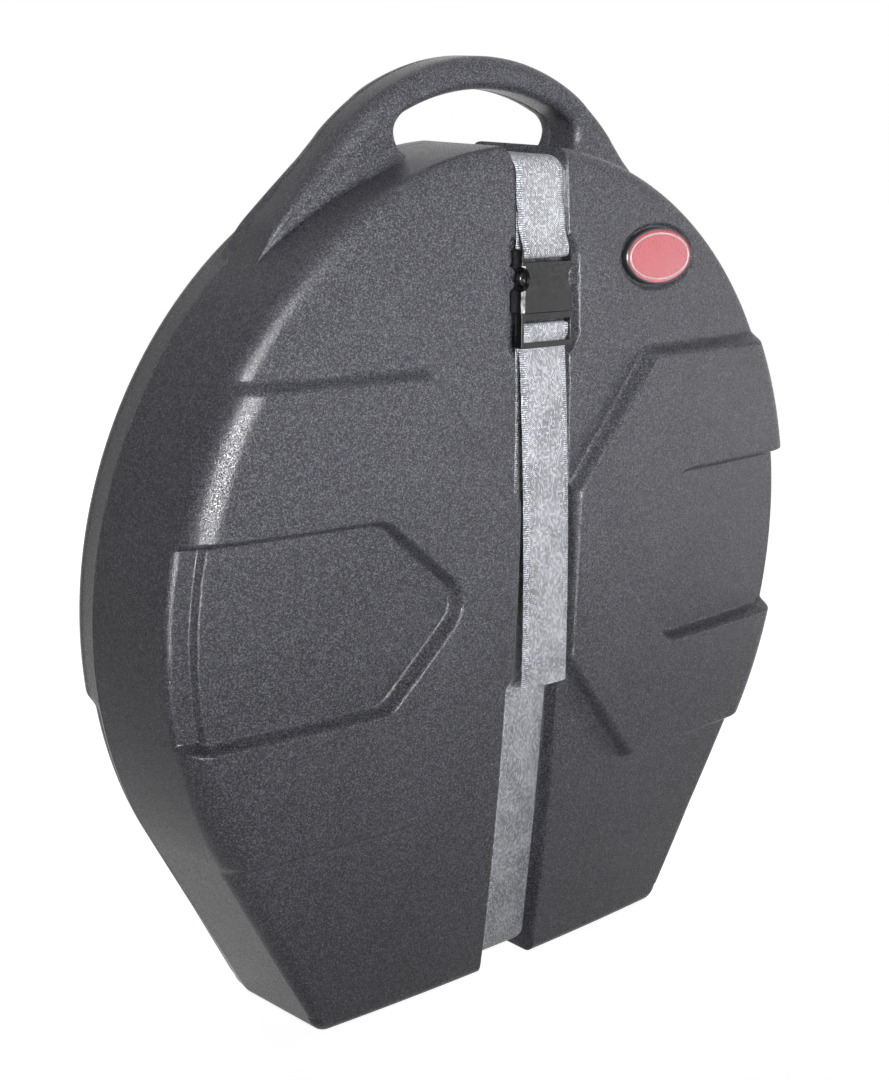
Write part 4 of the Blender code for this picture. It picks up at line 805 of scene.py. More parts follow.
class Nodes:
    """A short way to write a material's nodes."""

    def __init__(self, name: str) -> None:
        """Start a material with its shader and object coordinates.

        Args:
            name: Name of the material.
        """
        self.material = bpy.data.materials.new(name)
        self.material.use_nodes = True
        self.tree = self.material.node_tree
        self.shader = self.tree.nodes["Principled BSDF"]
        self.place = self.tree.nodes.new("ShaderNodeTexCoord").outputs["Object"]

    def put(self, socket: Socket, value: object) -> None:
        """Link a socket to another, or set it to a value.

        Args:
            socket: The socket to fill.
            value: A socket or a plain value.
        """
        if isinstance(value, Socket):
            self.tree.links.new(value, socket)
        else:
            socket.default_value = value

    def add(self, kind: str, inputs: dict | None = None, **settings: object) -> bpy.types.Node:
        """Add a node, set its properties, and set or link its inputs.

        Args:
            kind: Blender's name of the node type.
            inputs: Values or sockets by input name or number.
            **settings: Properties of the node.

        Returns:
            The node.
        """
        node = self.tree.nodes.new(kind)
        for key, value in settings.items():
            setattr(node, key, value)
        for key, value in (inputs or {}).items():
            self.put(node.inputs[key], value)
        return node

    def set(self, **values: object) -> None:
        """Set the shader's own sockets, named with underscores for spaces."""
        for key, value in values.items():
            self.put(self.shader.inputs[key.replace("_", " ")], value)

    def noise(self, scale: float, detail: float = 2.0) -> Socket:
        """Value of a noise pattern."""
        inputs = {"Vector": self.place, "Scale": scale, "Detail": detail}
        return self.add("ShaderNodeTexNoise", inputs).outputs["Fac"]

    def math(self, operation: str, a: object, b: object = 0.0) -> Socket:
        """Result of a sum on one or two values."""
        return self.add("ShaderNodeMath", {0: a, 1: b}, operation=operation).outputs[0]

    def span(self, value: object, low: float, high: float, out_low: float, out_high: float) -> Socket:
        """A value moved from one range to another, and kept inside it."""
        inputs = {"Value": value, "From Min": low, "From Max": high, "To Min": out_low, "To Max": out_high}
        return self.add("ShaderNodeMapRange", inputs).outputs["Result"]

    def tint(self, share: object, low: Triple, high: Triple) -> Socket:
        """A colour between two others."""
        inputs = {"Factor": share, 6: (*low, 1.0), 7: (*high, 1.0)}
        return self.add("ShaderNodeMix", inputs, data_type="RGBA").outputs[2]

    def bump(self, height: Socket, distance: float, strength: float = 1.0) -> Socket:
        """A normal that follows a height. A height of 1 stands for the distance, in metres."""
        inputs = {"Height": height, "Distance": distance, "Strength": strength}
        return self.add("ShaderNodeBump", inputs).outputs["Normal"]


@dataclass(frozen=True)
class Pebble:
    """Moulded polyethylene with a fine pebble grain that sparkles in the light, partly from its bumps and
    partly from bright specks painted into its colour as glints.
    """

    colour: Triple = (0.030, 0.030, 0.035)
    speck_and_glint: Triple = (0.185, 0.188, 0.218)
    rarity: float = 3.0
    grain: float = 1450.0
    relief: float = 0.00018
    depths: Pair = (-0.5, -1.3)
    swell_grain: float = 0.35
    swell: float = 1.2
    cloud_scale: float = 7.0
    cloud: float = 0.06
    roughness: Pair = (0.20, 0.34)
    specular: float = 0.15

    def make(self) -> bpy.types.Material:
        """Build the material: one random tone for each grain, a few bright ones that are painted glints, and a
        slow change of tone.

        Returns:
            The material.
        """
        n = Nodes("pebble_plastic")
        cells = n.add("ShaderNodeTexVoronoi", {"Vector": n.place, "Scale": self.grain}, feature="F1")
        parts = n.add("ShaderNodeSeparateColor", {0: cells.outputs["Color"]})
        # Each grain gets a random tone, skewed dark by this power; the rare bright grains that remain are
        # painted glints.
        tone_and_glint = n.math("POWER", parts.outputs[0], self.rarity)
        depth = n.span(parts.outputs[1], 0.0, 1.0, *self.depths)
        height = n.math("MULTIPLY", cells.outputs["Distance"], depth)
        swell = n.math("MULTIPLY", n.noise(self.grain * self.swell_grain, 2.0), self.swell)
        slow = n.span(n.noise(self.cloud_scale, 3.0), 0.35, 0.65, 0.0, self.cloud)
        n.set(Base_Color=n.tint(n.math("ADD", slow, tone_and_glint), self.colour, self.speck_and_glint))
        n.set(Roughness=n.span(parts.outputs[2], 0.0, 1.0, *self.roughness), Specular_IOR_Level=self.specular)
        n.set(Normal=n.bump(n.math("ADD", height, swell), self.relief))
        return n.material


@dataclass(frozen=True)
class Webbing:
    """Flat woven strap with denser ribs along both edges. U runs across it and V along it, in metres."""

    light: Triple = (0.84, 0.86, 0.93)
    gap_shade: Triple = (0.040, 0.043, 0.060)
    pitch: float = 0.00150
    columns: float = 0.00110
    half: float = 0.0225
    selvage: float = 0.0050
    selvage_blend: float = 0.0003
    shake: float = 0.0003
    lens: Pair = (0.7, 0.6)
    shine: Pair = (0.45, 1.55)
    wear: float = 0.10
    wear_scale: float = 45.0
    shake_scale: float = 300.0
    roughness: Pair = (0.34, 0.52)
    relief: float = 0.0005

    def make(self) -> bpy.types.Material:
        """Build the material: short floats of yarn in staggered columns, with straight ribs along both edges.

        Each float is a lens, the product of a sine across its column and a sine along it. Every other column
        is moved by half a float. The colour follows the lens, so that each float and rib is painted darker
        towards its edges, with painted shade in the gaps between them. Random cells as large as a float make
        single yarns brighter or darker.

        Returns:
            The material.
        """
        n = Nodes("silver_webbing")
        uv = n.add("ShaderNodeUVMap", uv_map=WEAVE_MAP).outputs["UV"]
        parts = n.add("ShaderNodeSeparateXYZ", {"Vector": uv})
        u, v = parts.outputs["X"], parts.outputs["Y"]
        shake = n.math("MULTIPLY", n.math("SUBTRACT", n.noise(self.shake_scale, 2.0), 0.5), self.shake)
        turn = n.math("MULTIPLY", n.math("ADD", u, shake), math.pi / self.columns)
        column = n.math("ABSOLUTE", n.math("SINE", turn))
        count = n.math("FLOOR", n.math("DIVIDE", n.math("ADD", u, shake), self.columns))
        half_turn = n.math("MULTIPLY", n.math("PINGPONG", count, 1.0), math.pi / 2)
        along = n.math("MULTIPLY", n.math("ADD", v, shake), math.pi / self.pitch)
        rib = n.math("ABSOLUTE", n.math("SINE", n.math("ADD", along, half_turn)))
        straight = n.math("ABSOLUTE", n.math("SINE", along))
        yarn = n.math("MULTIPLY", n.math("POWER", rib, self.lens[0]), n.math("POWER", column, self.lens[1]))
        ribs_from = self.half - self.selvage
        edge = n.span(n.math("ABSOLUTE", u), ribs_from - self.selvage_blend, ribs_from, 0.0, 1.0)
        weave = n.add("ShaderNodeMix", {"Factor": edge, 2: yarn, 3: straight}, data_type="FLOAT").outputs[0]
        across, length = n.math("DIVIDE", u, self.columns), n.math("DIVIDE", v, self.pitch)
        cell = n.add("ShaderNodeCombineXYZ", {0: across, 1: length}).outputs[0]
        cell = n.add("ShaderNodeVectorMath", {0: cell}, operation="FLOOR").outputs["Vector"]
        flake = n.add("ShaderNodeTexWhiteNoise", {"Vector": cell}, noise_dimensions="2D").outputs["Value"]
        shine = n.span(n.math("MULTIPLY", flake, flake), 0.0, 1.0, *self.shine)
        worn = n.span(n.noise(self.wear_scale, 3.0), 0.35, 0.65, -self.wear, self.wear)
        # Colour follows the weave's height: painted shade darkens the edges of each float and rib and the gaps
        # between them.
        tone = n.math("ADD", n.math("MULTIPLY", weave, shine), worn)
        n.set(Base_Color=n.tint(n.span(tone, 0.05, 0.95, 0.0, 1.0), self.gap_shade, self.light))
        n.set(Roughness=n.span(flake, 0.0, 1.0, *self.roughness), Normal=n.bump(weave, self.relief))
        n.set(Sheen_Weight=0.2, Sheen_Roughness=0.4, Specular_IOR_Level=0.5)
        return n.material


@dataclass(frozen=True)
class Gloss:
    """Hard moulded plastic or paint with a faint orange-peel."""

    name: str
    colour: Triple
    other: Triple
    roughness: float = 0.26
    grain: float = 900.0
    blotch_scale: float = 160.0
    dull_scale: float = 420.0
    glossier: float = 0.06
    duller: float = 0.08
    relief: float = 0.00003
    relief_share: float = 0.6

    def make(self) -> bpy.types.Material:
        """Build the material: two close colours, blotches of roughness and a faint relief.

        Returns:
            The material.
        """
        n = Nodes(self.name)
        n.set(Base_Color=n.tint(n.noise(self.blotch_scale, 3.0), self.colour, self.other))
        low, high = self.roughness - self.glossier, self.roughness + self.duller
        n.set(Roughness=n.span(n.noise(self.dull_scale, 3.0), 0.3, 0.7, low, high))
        n.set(Normal=n.bump(n.noise(self.grain, 2.0), self.relief, self.relief_share))
        return n.material


@dataclass(frozen=True)
class Fuzz:
    """Foam or felt: no gloss, with pores or matted hairs."""

    name: str
    colour: Triple
    other: Triple
    scale: float
    relief: float
    smoothness: float = 0.6
    hair_scale: float = 2.4
    hair: float = 0.6

    def make(self) -> bpy.types.Material:
        """Build the material: cells that are rounded where they meet, with finer noise over them. The colour
        follows the same height, so that the hollow of each pore holds painted shade and the finer noise tints
        the hairs at random.

        Returns:
            The material.
        """
        n = Nodes(self.name)
        inputs = {"Vector": n.place, "Scale": self.scale, "Smoothness": self.smoothness}
        pores = n.add("ShaderNodeTexVoronoi", inputs, feature="SMOOTH_F1").outputs["Distance"]
        hairs = n.noise(self.scale * self.hair_scale, 4.0)
        height = n.math("ADD", pores, n.math("MULTIPLY", hairs, self.hair))
        # Colour follows the height: the hollow of each pore gets painted shade, and the hairs' noise adds
        # random tone.
        n.set(Base_Color=n.tint(n.span(height, 0.2, 1.1, 0.0, 1.0), self.colour, self.other))
        n.set(Roughness=0.95, Sheen_Weight=0.3, Specular_IOR_Level=0.2, Normal=n.bump(height, self.relief))
        return n.material


@dataclass(frozen=True)
class Metal:
    """Plated steel with fine scratches and slightly uneven plating."""

    name: str
    colour: Triple = (0.60, 0.60, 0.61)
    other: Triple = (0.46, 0.46, 0.48)
    roughness: Pair = (0.22, 0.42)
    plating_scale: float = 240.0
    scratch_scale: float = 700.0
    ripple_scale: float = 1500.0
    relief: float = 0.00002
    relief_share: float = 0.5

    def make(self) -> bpy.types.Material:
        """Build the material: two close colours, streaks of roughness and a very faint relief.

        Returns:
            The material.
        """
        n = Nodes(self.name)
        n.set(Base_Color=n.tint(n.noise(self.plating_scale, 4.0), self.other, self.colour), Metallic=1.0)
        n.set(Roughness=n.span(n.noise(self.scratch_scale, 4.0), 0.3, 0.7, *self.roughness))
        n.set(Normal=n.bump(n.noise(self.ripple_scale, 2.0), self.relief, self.relief_share))
        return n.material


class Finishes:
    """Every finish of the case, made once."""

    def __init__(self) -> None:
        """Make the materials."""
        self.pebble = Pebble().make()
        self.webbing = Webbing().make()
        self.buckle = Gloss("buckle_plastic", (0.007, 0.007, 0.008), (0.011, 0.011, 0.012), 0.17).make()
        self.badge_black = Gloss("badge_black", (0.012, 0.012, 0.013), (0.02, 0.02, 0.022), 0.34).make()
        self.badge_red = Gloss("badge_red", (0.42, 0.026, 0.044), (0.52, 0.045, 0.070), 0.30, 1400.0).make()
        self.badge_silver = Gloss("badge_silver", (0.52, 0.50, 0.51), (0.64, 0.62, 0.63), 0.30).make()
        # In foam and felt the first, darker colour falls in the pores as painted shade and, with the hairs'
        # noise, as random tone.
        self.foam = Fuzz("liner_foam", (0.012, 0.012, 0.013), (0.035, 0.035, 0.038), 900.0, 0.0003).make()
        self.felt = Fuzz("washer_felt", (0.030, 0.030, 0.033), (0.075, 0.075, 0.080), 600.0, 0.0005).make()
        self.steel = Metal("plated_steel").make()
        self.thread = Gloss("stitch_thread", (0.30, 0.31, 0.34), (0.46, 0.47, 0.50), 0.6).make()


def dress(piece: Piece, material: bpy.types.Material, body: str, node: str | None = None) -> Piece:
    """Give a piece its finish, the body that it rides on and the node that it stands for.

    Args:
        piece: The piece.
        material: Its finish.
        body: The body that carries it.
        node: The node of the frame that it replaces, or None.

    Returns:
        The same piece.
    """
    piece.data.materials.clear()
    piece.data.materials.append(material)
    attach(piece, body)
    if node is not None:
        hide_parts(node)
    return piece


@dataclass
class Handle:
    """The carrying handle, half on each shell: a hollow band round the hand hole that fades into the side.

    Angles are in degrees: the shoulder's about the handle's own centre, the fades' about the case's centre.
    """

    radius: float = 0.185
    centre_z: float = 0.468
    shoulder: float = 45.0
    fade_from: float = 53.5
    fade_to: float = 46.5
    front_y: float = 0.049
    back_y: float = 0.089
    edge: float = 0.0120
    hole_foot: float = 0.584
    hole_top: float = 0.631
    hole_arc: float = 0.190
    hole_corner: float = 0.016
    hole_edge: float = 0.0085
    wall: float = 0.0045
    buried: float = 0.004
    sunk: float = 0.0004
    end_x: float = 0.067
    lip: float = 0.0005
    fillet: float = 0.011
    back_fillet_share: float = 0.35
    fillet_share: float = 0.42
    fillet_from: float = 0.5
    fillet_past: float = 1.2
    fillet_least: float = 0.0001
    fillet_proud: float = 0.00005
    fillet_points: int = 110
    fillet_steps: int = 10
    thick_share: float = 0.52
    edge_share: float = 0.55
    edge_least: float = 0.0004
    bar_share: float = 0.38
    web_share: float = 0.9
    rim_least: float = 0.0006
    depth_left: float = 0.001
    skin_share: float = 0.3
    skin_least: float = 0.0003
    hollow_share: float = 0.6
    counts: tuple[int, int, int] = (90, 70, 50)
    curve_points: int = 60
    corner_points: int = 50
    rest_points: int = 30
    shoulder_points: int = 90
    face_steps: int = 10
    arc_steps: int = 9
    crease: float = 60.0

    @staticmethod
    def side_radius(turn: Array, y: Array | float) -> Array:
        """Radius of the case's side about its centre, which grows a little in width towards the seam.

        Args:
            turn: Angle from +X.
            y: Distance from the lid's rim.

        Returns:
            The radius, less where the back's edge rounds over.
        """
        y = np.asarray(y)
        front = np.clip(y / CASE.seam_y, 0.0, 1.0)
        back = np.clip((CASE.back_rim_y - y) / (CASE.back_rim_y - CASE.seam_y), 0.0, 1.0)
        grow = 1.0 + CASE.draft / CASE.radius * np.minimum(front, back)
        into = np.clip(y - (CASE.back_rim_y - CASE.edge), 0.0, CASE.edge)
        inset = CASE.edge - np.sqrt(CASE.edge**2 - into**2)
        return np.hypot(CASE.radius * grow * np.cos(turn), CASE.radius * np.sin(turn)) - inset

    @staticmethod
    def polar(turn: Array, reach: Array) -> Array:
        """Places (x, z) at angles and distances from the case's centre."""
        return np.stack([reach * np.cos(turn), CASE.centre_z + reach * np.sin(turn)], -1)

    @staticmethod
    def arc(radius: float, centre: Pair, start: float, stop: float, count: int) -> Array:
        """Places (x, z) on an arc, at even angles from +X."""
        turn = np.linspace(start, stop, count)
        return np.stack([centre[0] + radius * np.cos(turn), centre[1] + radius * np.sin(turn)], 1)

    def line_reach(self, turn: Array) -> Array:
        """Distance from the case's centre to the straight shoulder, a line on which x plus z is constant."""
        total = self.centre_z + self.radius * (math.sin(math.radians(self.shoulder)) * 2) - CASE.centre_z
        return total / (np.sin(turn) + np.cos(turn))

    def faded(self, turn: Array) -> Array:
        """Share of the shoulder's height that is left at each angle: 1 at the top and 0 at its lower end.

        Args:
            turn: Angles from +X about the case's centre.

        Returns:
            The shares, along a smooth step.
        """
        low, high = math.radians(self.fade_to), math.radians(self.fade_from)
        share = np.clip((turn - low) / (high - low), 0.0, 1.0)
        return share * share * (3.0 - 2.0 * share)

    def drawn_in(self, turn: Array, y: Array | float) -> Array:
        """How much the faded shoulder is drawn in at a width, to keep to the case's tapering side."""
        return (self.side_radius(turn, CASE.seam_y) - self.side_radius(turn, y)) * (1.0 - self.faded(turn))

    def height(self, turn: Array) -> Array:
        """How far the shoulder stands above the case's side, faded to nothing at its lower end."""
        return (self.line_reach(turn) - self.side_radius(turn, CASE.seam_y)) * self.faded(turn)

    def hole(self) -> tuple[Array, Array, Array]:
        """Right half of the hand hole in three stretches: the arch, the round corner and the foot.

        Returns:
            Three lines of (x, z) points, each starting where the one before ends.
        """
        r = self.hole_corner
        arch_z = self.hole_top - self.hole_arc
        corner_z = self.hole_foot + r
        corner_x = math.sqrt((self.hole_arc - r) ** 2 - (corner_z - arch_z) ** 2)
        start = math.atan2(corner_z - arch_z, corner_x)
        arch = self.arc(self.hole_arc, (0.0, arch_z), math.pi / 2, start, self.curve_points)
        corner = self.arc(r, (corner_x, corner_z), start, -math.pi / 2, self.corner_points)
        foot = np.array([corner[-1], (self.end_x, self.hole_foot)])
        return arch, corner, foot

    def outer(self) -> tuple[Array, Array, Array]:
        """Right half of the outer outline in three stretches, split above the start of the hole's corner.

        Returns:
            The crown, the shoulder down to where it has faded, and the buried line back under the hole.
        """
        x, z = self.hole()[1][0]
        split = math.atan2(x, z - self.centre_z)
        centre = (0.0, self.centre_z)
        top, end = math.pi / 2, math.pi / 2 - math.radians(self.shoulder)
        crown = self.arc(self.radius, centre, top, top - split, self.curve_points)
        rest = self.arc(self.radius, centre, top - split, end, self.rest_points)
        low = math.radians(self.fade_to)
        begin = math.atan2(rest[-1, 1] - CASE.centre_z, rest[-1, 0])
        turn = np.linspace(begin, low, self.shoulder_points)
        shoulder = self.polar(turn, self.side_radius(turn, CASE.seam_y) + self.height(turn) - self.sunk)
        under = np.linspace(low, math.acos(self.end_x / CASE.radius), self.curve_points)
        buried = self.polar(under, self.side_radius(under, 0.0) - self.buried)
        return crown, np.vstack([rest[:-1], shoulder, buried[:1]]), buried

    def whole(self, stretches: Sequence[Array]) -> Array:
        """The outline from its left end over the top to its right end, from the right half's stretches.

        Args:
            stretches: The right half's three lines.

        Returns:
            Points from the left end to the right.
        """
        parts = [even_points(line, count + 1) for line, count in zip(stretches, self.counts)]
        half = np.vstack([parts[0]] + [part[1:] for part in parts[1:]])
        left = half[1:][::-1] * np.array([-1.0, 1.0])
        return np.vstack([left, half])

    @staticmethod
    def outward(line: Array) -> Array:
        """Unit normals of an outline that runs clockwise, evened out over a few points.

        Args:
            line: The outline's points.

        Returns:
            A normal for each point.
        """
        run = np.gradient(line, axis=0)
        kernel = np.ones(5) / 5
        padded = np.pad(run, ((2, 2), (0, 0)), mode="edge")
        run = np.stack([np.convolve(padded[:, k], kernel, "valid") for k in range(2)], 1)
        normal = np.stack([-run[:, 1], run[:, 0]], 1)
        return normal / np.maximum(np.linalg.norm(normal, axis=1, keepdims=True), 1e-9)

    @staticmethod
    def nearest(points: Array, others: Array) -> Array:
        """Distance from each point to the nearest of the others."""
        return np.linalg.norm(points[:, None] - others[None], axis=2).min(1)

    def above_side(self, line: Array, y: float) -> Array:
        """How far each point of an outline stands outside the case's side.

        Args:
            line: The outline's points.
            y: Distance from the lid's rim.

        Returns:
            The heights.
        """
        turn = np.arctan2(line[:, 1] - CASE.centre_z, np.abs(line[:, 0]))
        reach = np.hypot(line[:, 0], line[:, 1] - CASE.centre_z)
        return reach - self.drawn_in(turn, y) - self.side_radius(turn, y)

    def stands(self, turn: Array, y: float) -> Array:
        """How far the outer outline stands above the case's side at each angle from +X.

        Args:
            turn: The angles.
            y: Distance from the lid's rim.

        Returns:
            The heights.
        """
        crown, shoulder, _ = self.outer()
        line = np.vstack([crown, shoulder[1:-1]])[::-1]
        about = np.arctan2(line[:, 1] - CASE.centre_z, line[:, 0])
        reach = np.hypot(line[:, 0], line[:, 1] - CASE.centre_z)
        return np.interp(turn, about, reach) - self.drawn_in(turn, y) - self.side_radius(turn, y)

    def half(self, side: Side) -> Array:
        """Grid of one half, whose closed section is carried from the left end over the top to the right end.

        The section starts at the seam, rounds over the outer edge, crosses the face, rounds into the hand
        hole, and comes back along the hollow's inner side. Its roundings shrink where the band is thin or
        fades, and the whole is drawn towards the case's centre where the case's side tapers.

        Args:
            side: Which half.

        Returns:
            (places along the band, places round its section, 3).
        """
        hole, outer = self.whole(self.hole()), self.whole(self.outer())
        out_n, in_n = self.outward(outer), self.outward(hole)
        face_y = self.front_y if side is Side.FRONT else self.back_y
        depth = abs(CASE.seam_y - face_y)
        room, inward = depth - self.depth_left, -side.value
        thick = self.nearest(outer, hole) * self.thick_share
        bar = self.nearest(hole, outer) * self.bar_share
        edge = np.minimum(thick, self.above_side(outer, face_y) * self.edge_share)
        edge = np.minimum(np.clip(edge, self.edge_least, self.edge), room)[:, None]
        rim = np.minimum(bar, self.above_side(hole, face_y) * self.web_share)
        rim = np.minimum(np.clip(rim, self.rim_least, self.hole_edge), room)[:, None]
        skin = np.linalg.norm(outer - hole, axis=1) * self.skin_share
        skin = np.clip(skin, self.skin_least, self.wall)[:, None]
        seam, lip_y = CASE.seam_y, CASE.seam_y - inward * self.lip
        turns = np.linspace(0.0, math.pi / 2, self.arc_steps)
        rows = [(outer - out_n * self.lip, seam), (outer, lip_y)]
        for t in turns:
            place = outer - out_n * edge * (1.0 - math.cos(t))
            rows.append((place, face_y + inward * edge * (1.0 - math.sin(t))))
        start, stop = outer - out_n * edge, hole + in_n * rim
        for share in np.linspace(0.0, 1.0, self.face_steps)[1:-1]:
            rows.append((mix(start, stop, share), face_y))
        for t in turns:
            place = hole + in_n * rim * (1.0 - math.sin(t))
            rows.append((place, face_y + inward * rim * (1.0 - math.cos(t))))
        inner_y = face_y + inward * min(self.wall, depth * self.hollow_share)
        rows += [(hole, lip_y), (hole + in_n * self.lip, seam), (hole + in_n * skin, seam)]
        rows += [(hole + in_n * skin, inner_y), (outer - out_n * skin, inner_y), (outer - out_n * skin, seam)]
        places = np.stack([place for place, _ in rows], 1)
        x, above = places[..., 0], places[..., 1] - CASE.centre_z
        y = np.stack([np.broadcast_to(level, edge.shape)[:, 0] for _, level in rows], 1)
        scale = 1.0 - self.drawn_in(np.arctan2(above, np.abs(x)), y) / np.hypot(x, above)
        return np.stack([x * scale, y, CASE.centre_z + above * scale], 2)

    def fillets(self, side: Side) -> list[Array]:
        """Hollow curves between the case's side and the handle's face, one on the right and one on the left.

        Each is a quarter circle between the two surfaces, carried along the line where they meet. Its radius
        follows the height of the face above the case, so that it fades away at both ends.

        Args:
            side: Which half.

        Returns:
            Two grids of (places round the quarter circle, places along the line, 3).
        """
        front = side is Side.FRONT
        face_y = self.front_y if front else self.back_y
        most = self.fillet if front else self.fillet * self.back_fillet_share
        past = math.radians(self.fillet_past)
        last = math.acos(float(self.hole()[1][:, 0].max()) / CASE.radius) + past
        turn = np.linspace(math.radians(self.fade_to + self.fillet_from), last, self.fillet_points)
        radius = np.minimum(most, self.stands(turn, face_y) * self.fillet_share)
        radius = radius * np.sqrt(np.clip((last - turn) / (2 * past), 0.0, 1.0))
        kernel = np.hanning(13) / np.hanning(13).sum()
        radius = np.convolve(np.pad(radius, 6, mode="edge"), kernel, "valid")
        radius = np.maximum(radius, self.fillet_least)
        t = np.linspace(0.0, math.pi / 2, self.fillet_steps)[:, None]
        y = face_y + side.value * radius * (1.0 - np.sin(t))
        reach = self.side_radius(turn, y) + radius * (1.0 - np.cos(t)) + self.fillet_proud
        spot = self.polar(turn, reach)
        right = np.stack([spot[..., 0], y, spot[..., 1]], -1)
        return [right, right * np.array([-1.0, 1.0, 1.0])]


@dataclass
class ShellMaker:
    """Builds both shells and the handle's halves."""

    maker: MeshMaker
    finishes: Finishes
    columns: dict[Side, int] = field(default_factory=lambda: {Side.FRONT: 1080, Side.BACK: 640})
    fine: dict[Side, float] = field(default_factory=lambda: {Side.FRONT: 0.00145, Side.BACK: 0.0026})
    parts: dict[Side, int] = field(default_factory=lambda: {Side.FRONT: 4, Side.BACK: 2})
    inner_columns: int = 300
    inner_fine: float = 0.005
    rebate: float = 0.0025
    rebate_depth: float = 0.0063
    tongue_share: float = 0.56
    tongue_height: float = 0.006
    least_step: float = 0.001

    def outside(self, name: str, relief: Relief) -> list[Piece]:
        """The pebbled outer side of a shell, in sectors that share their edges.

        Args:
            name: Name that the sectors share.
            relief: What the shell's face carries.

        Returns:
            The sectors.
        """
        surface = Shell(relief, 0.0, self.columns[relief.side], self.fine[relief.side])
        grid, normal = surface.grid()
        tip = grid[0].mean(0)
        count = self.parts[relief.side]
        size = grid.shape[1] // count
        flip = relief.side is Side.BACK
        made = []
        for k in range(count):
            chosen = np.arange(k * size, (k + 1) * size + 1) % grid.shape[1]
            sector = f"{name}_{k + 1}"
            made.append(self.maker.sheet(sector, grid[:, chosen], False, normal[:, chosen], tip, flip))
        return made

    def inside(self, name: str, relief: Relief) -> Piece:
        """The inner side of a shell, closed to the outer side by its lip at the seam.

        The lid's lip is a rebate, and the base's lip carries the tongue that enters it.

        Args:
            name: Name of the piece.
            relief: What the shell's face carries.

        Returns:
            The new piece.
        """
        front = relief.side is Side.FRONT
        surface = Shell(relief, CASE.wall, self.inner_columns, self.inner_fine)
        grid = surface.grid()[0][: -surface.lip_rows]
        outer = Shell(relief, 0.0, self.inner_columns, self.inner_fine)
        edge = outer.points(outer.angles, np.full(outer.angles.shape, float(outer.row_count - 1)))
        grid[-1, :, 1] = CASE.seam_y
        inner = grid[-1].copy()
        drop = np.array([0.0, -(self.rebate_depth if front else self.tongue_height), 0.0])
        step = mix(edge, inner, self.rebate / CASE.wall if front else self.tongue_share)
        if front:
            grid[-1] += drop
            grid[-2, :, 1] = np.minimum(grid[-2, :, 1], grid[-1, :, 1] - self.least_step)
            rows = [step + drop, step, edge]
        else:
            rows = [inner + drop, step + drop, step, edge]
        whole = np.concatenate([grid, np.array(rows)])
        return sharpen(self.maker.sheet(name, whole, True, tip=whole[0].mean(0), flip=front))

    def build(self) -> list[Piece]:
        """Make every piece of the shells, each riding on its body.

        Returns:
            The pieces.
        """
        made = []
        handle = Handle()
        plan = (("front_shell", "lid", front_relief()), ("back_shell", "base", back_relief()))
        for node, body, relief in plan:
            back = relief.side is Side.BACK
            pieces = self.outside(node + "_skin", relief)
            pieces.append(self.inside(node + "_lining", relief))
            grip = self.maker.sheet(node + "_handle", handle.half(relief.side), True, flip=back)
            pieces.append(sharpen(grip, handle.crease))
            for k, hollow in enumerate(handle.fillets(relief.side)):
                name = f"{node}_fillet_{k + 1}"
                pieces.append(self.maker.sheet(name, hollow, False, flip=back != (k == 1)))
            made += [dress(piece, self.finishes.pebble, body, node) for piece in pieces]
        return made


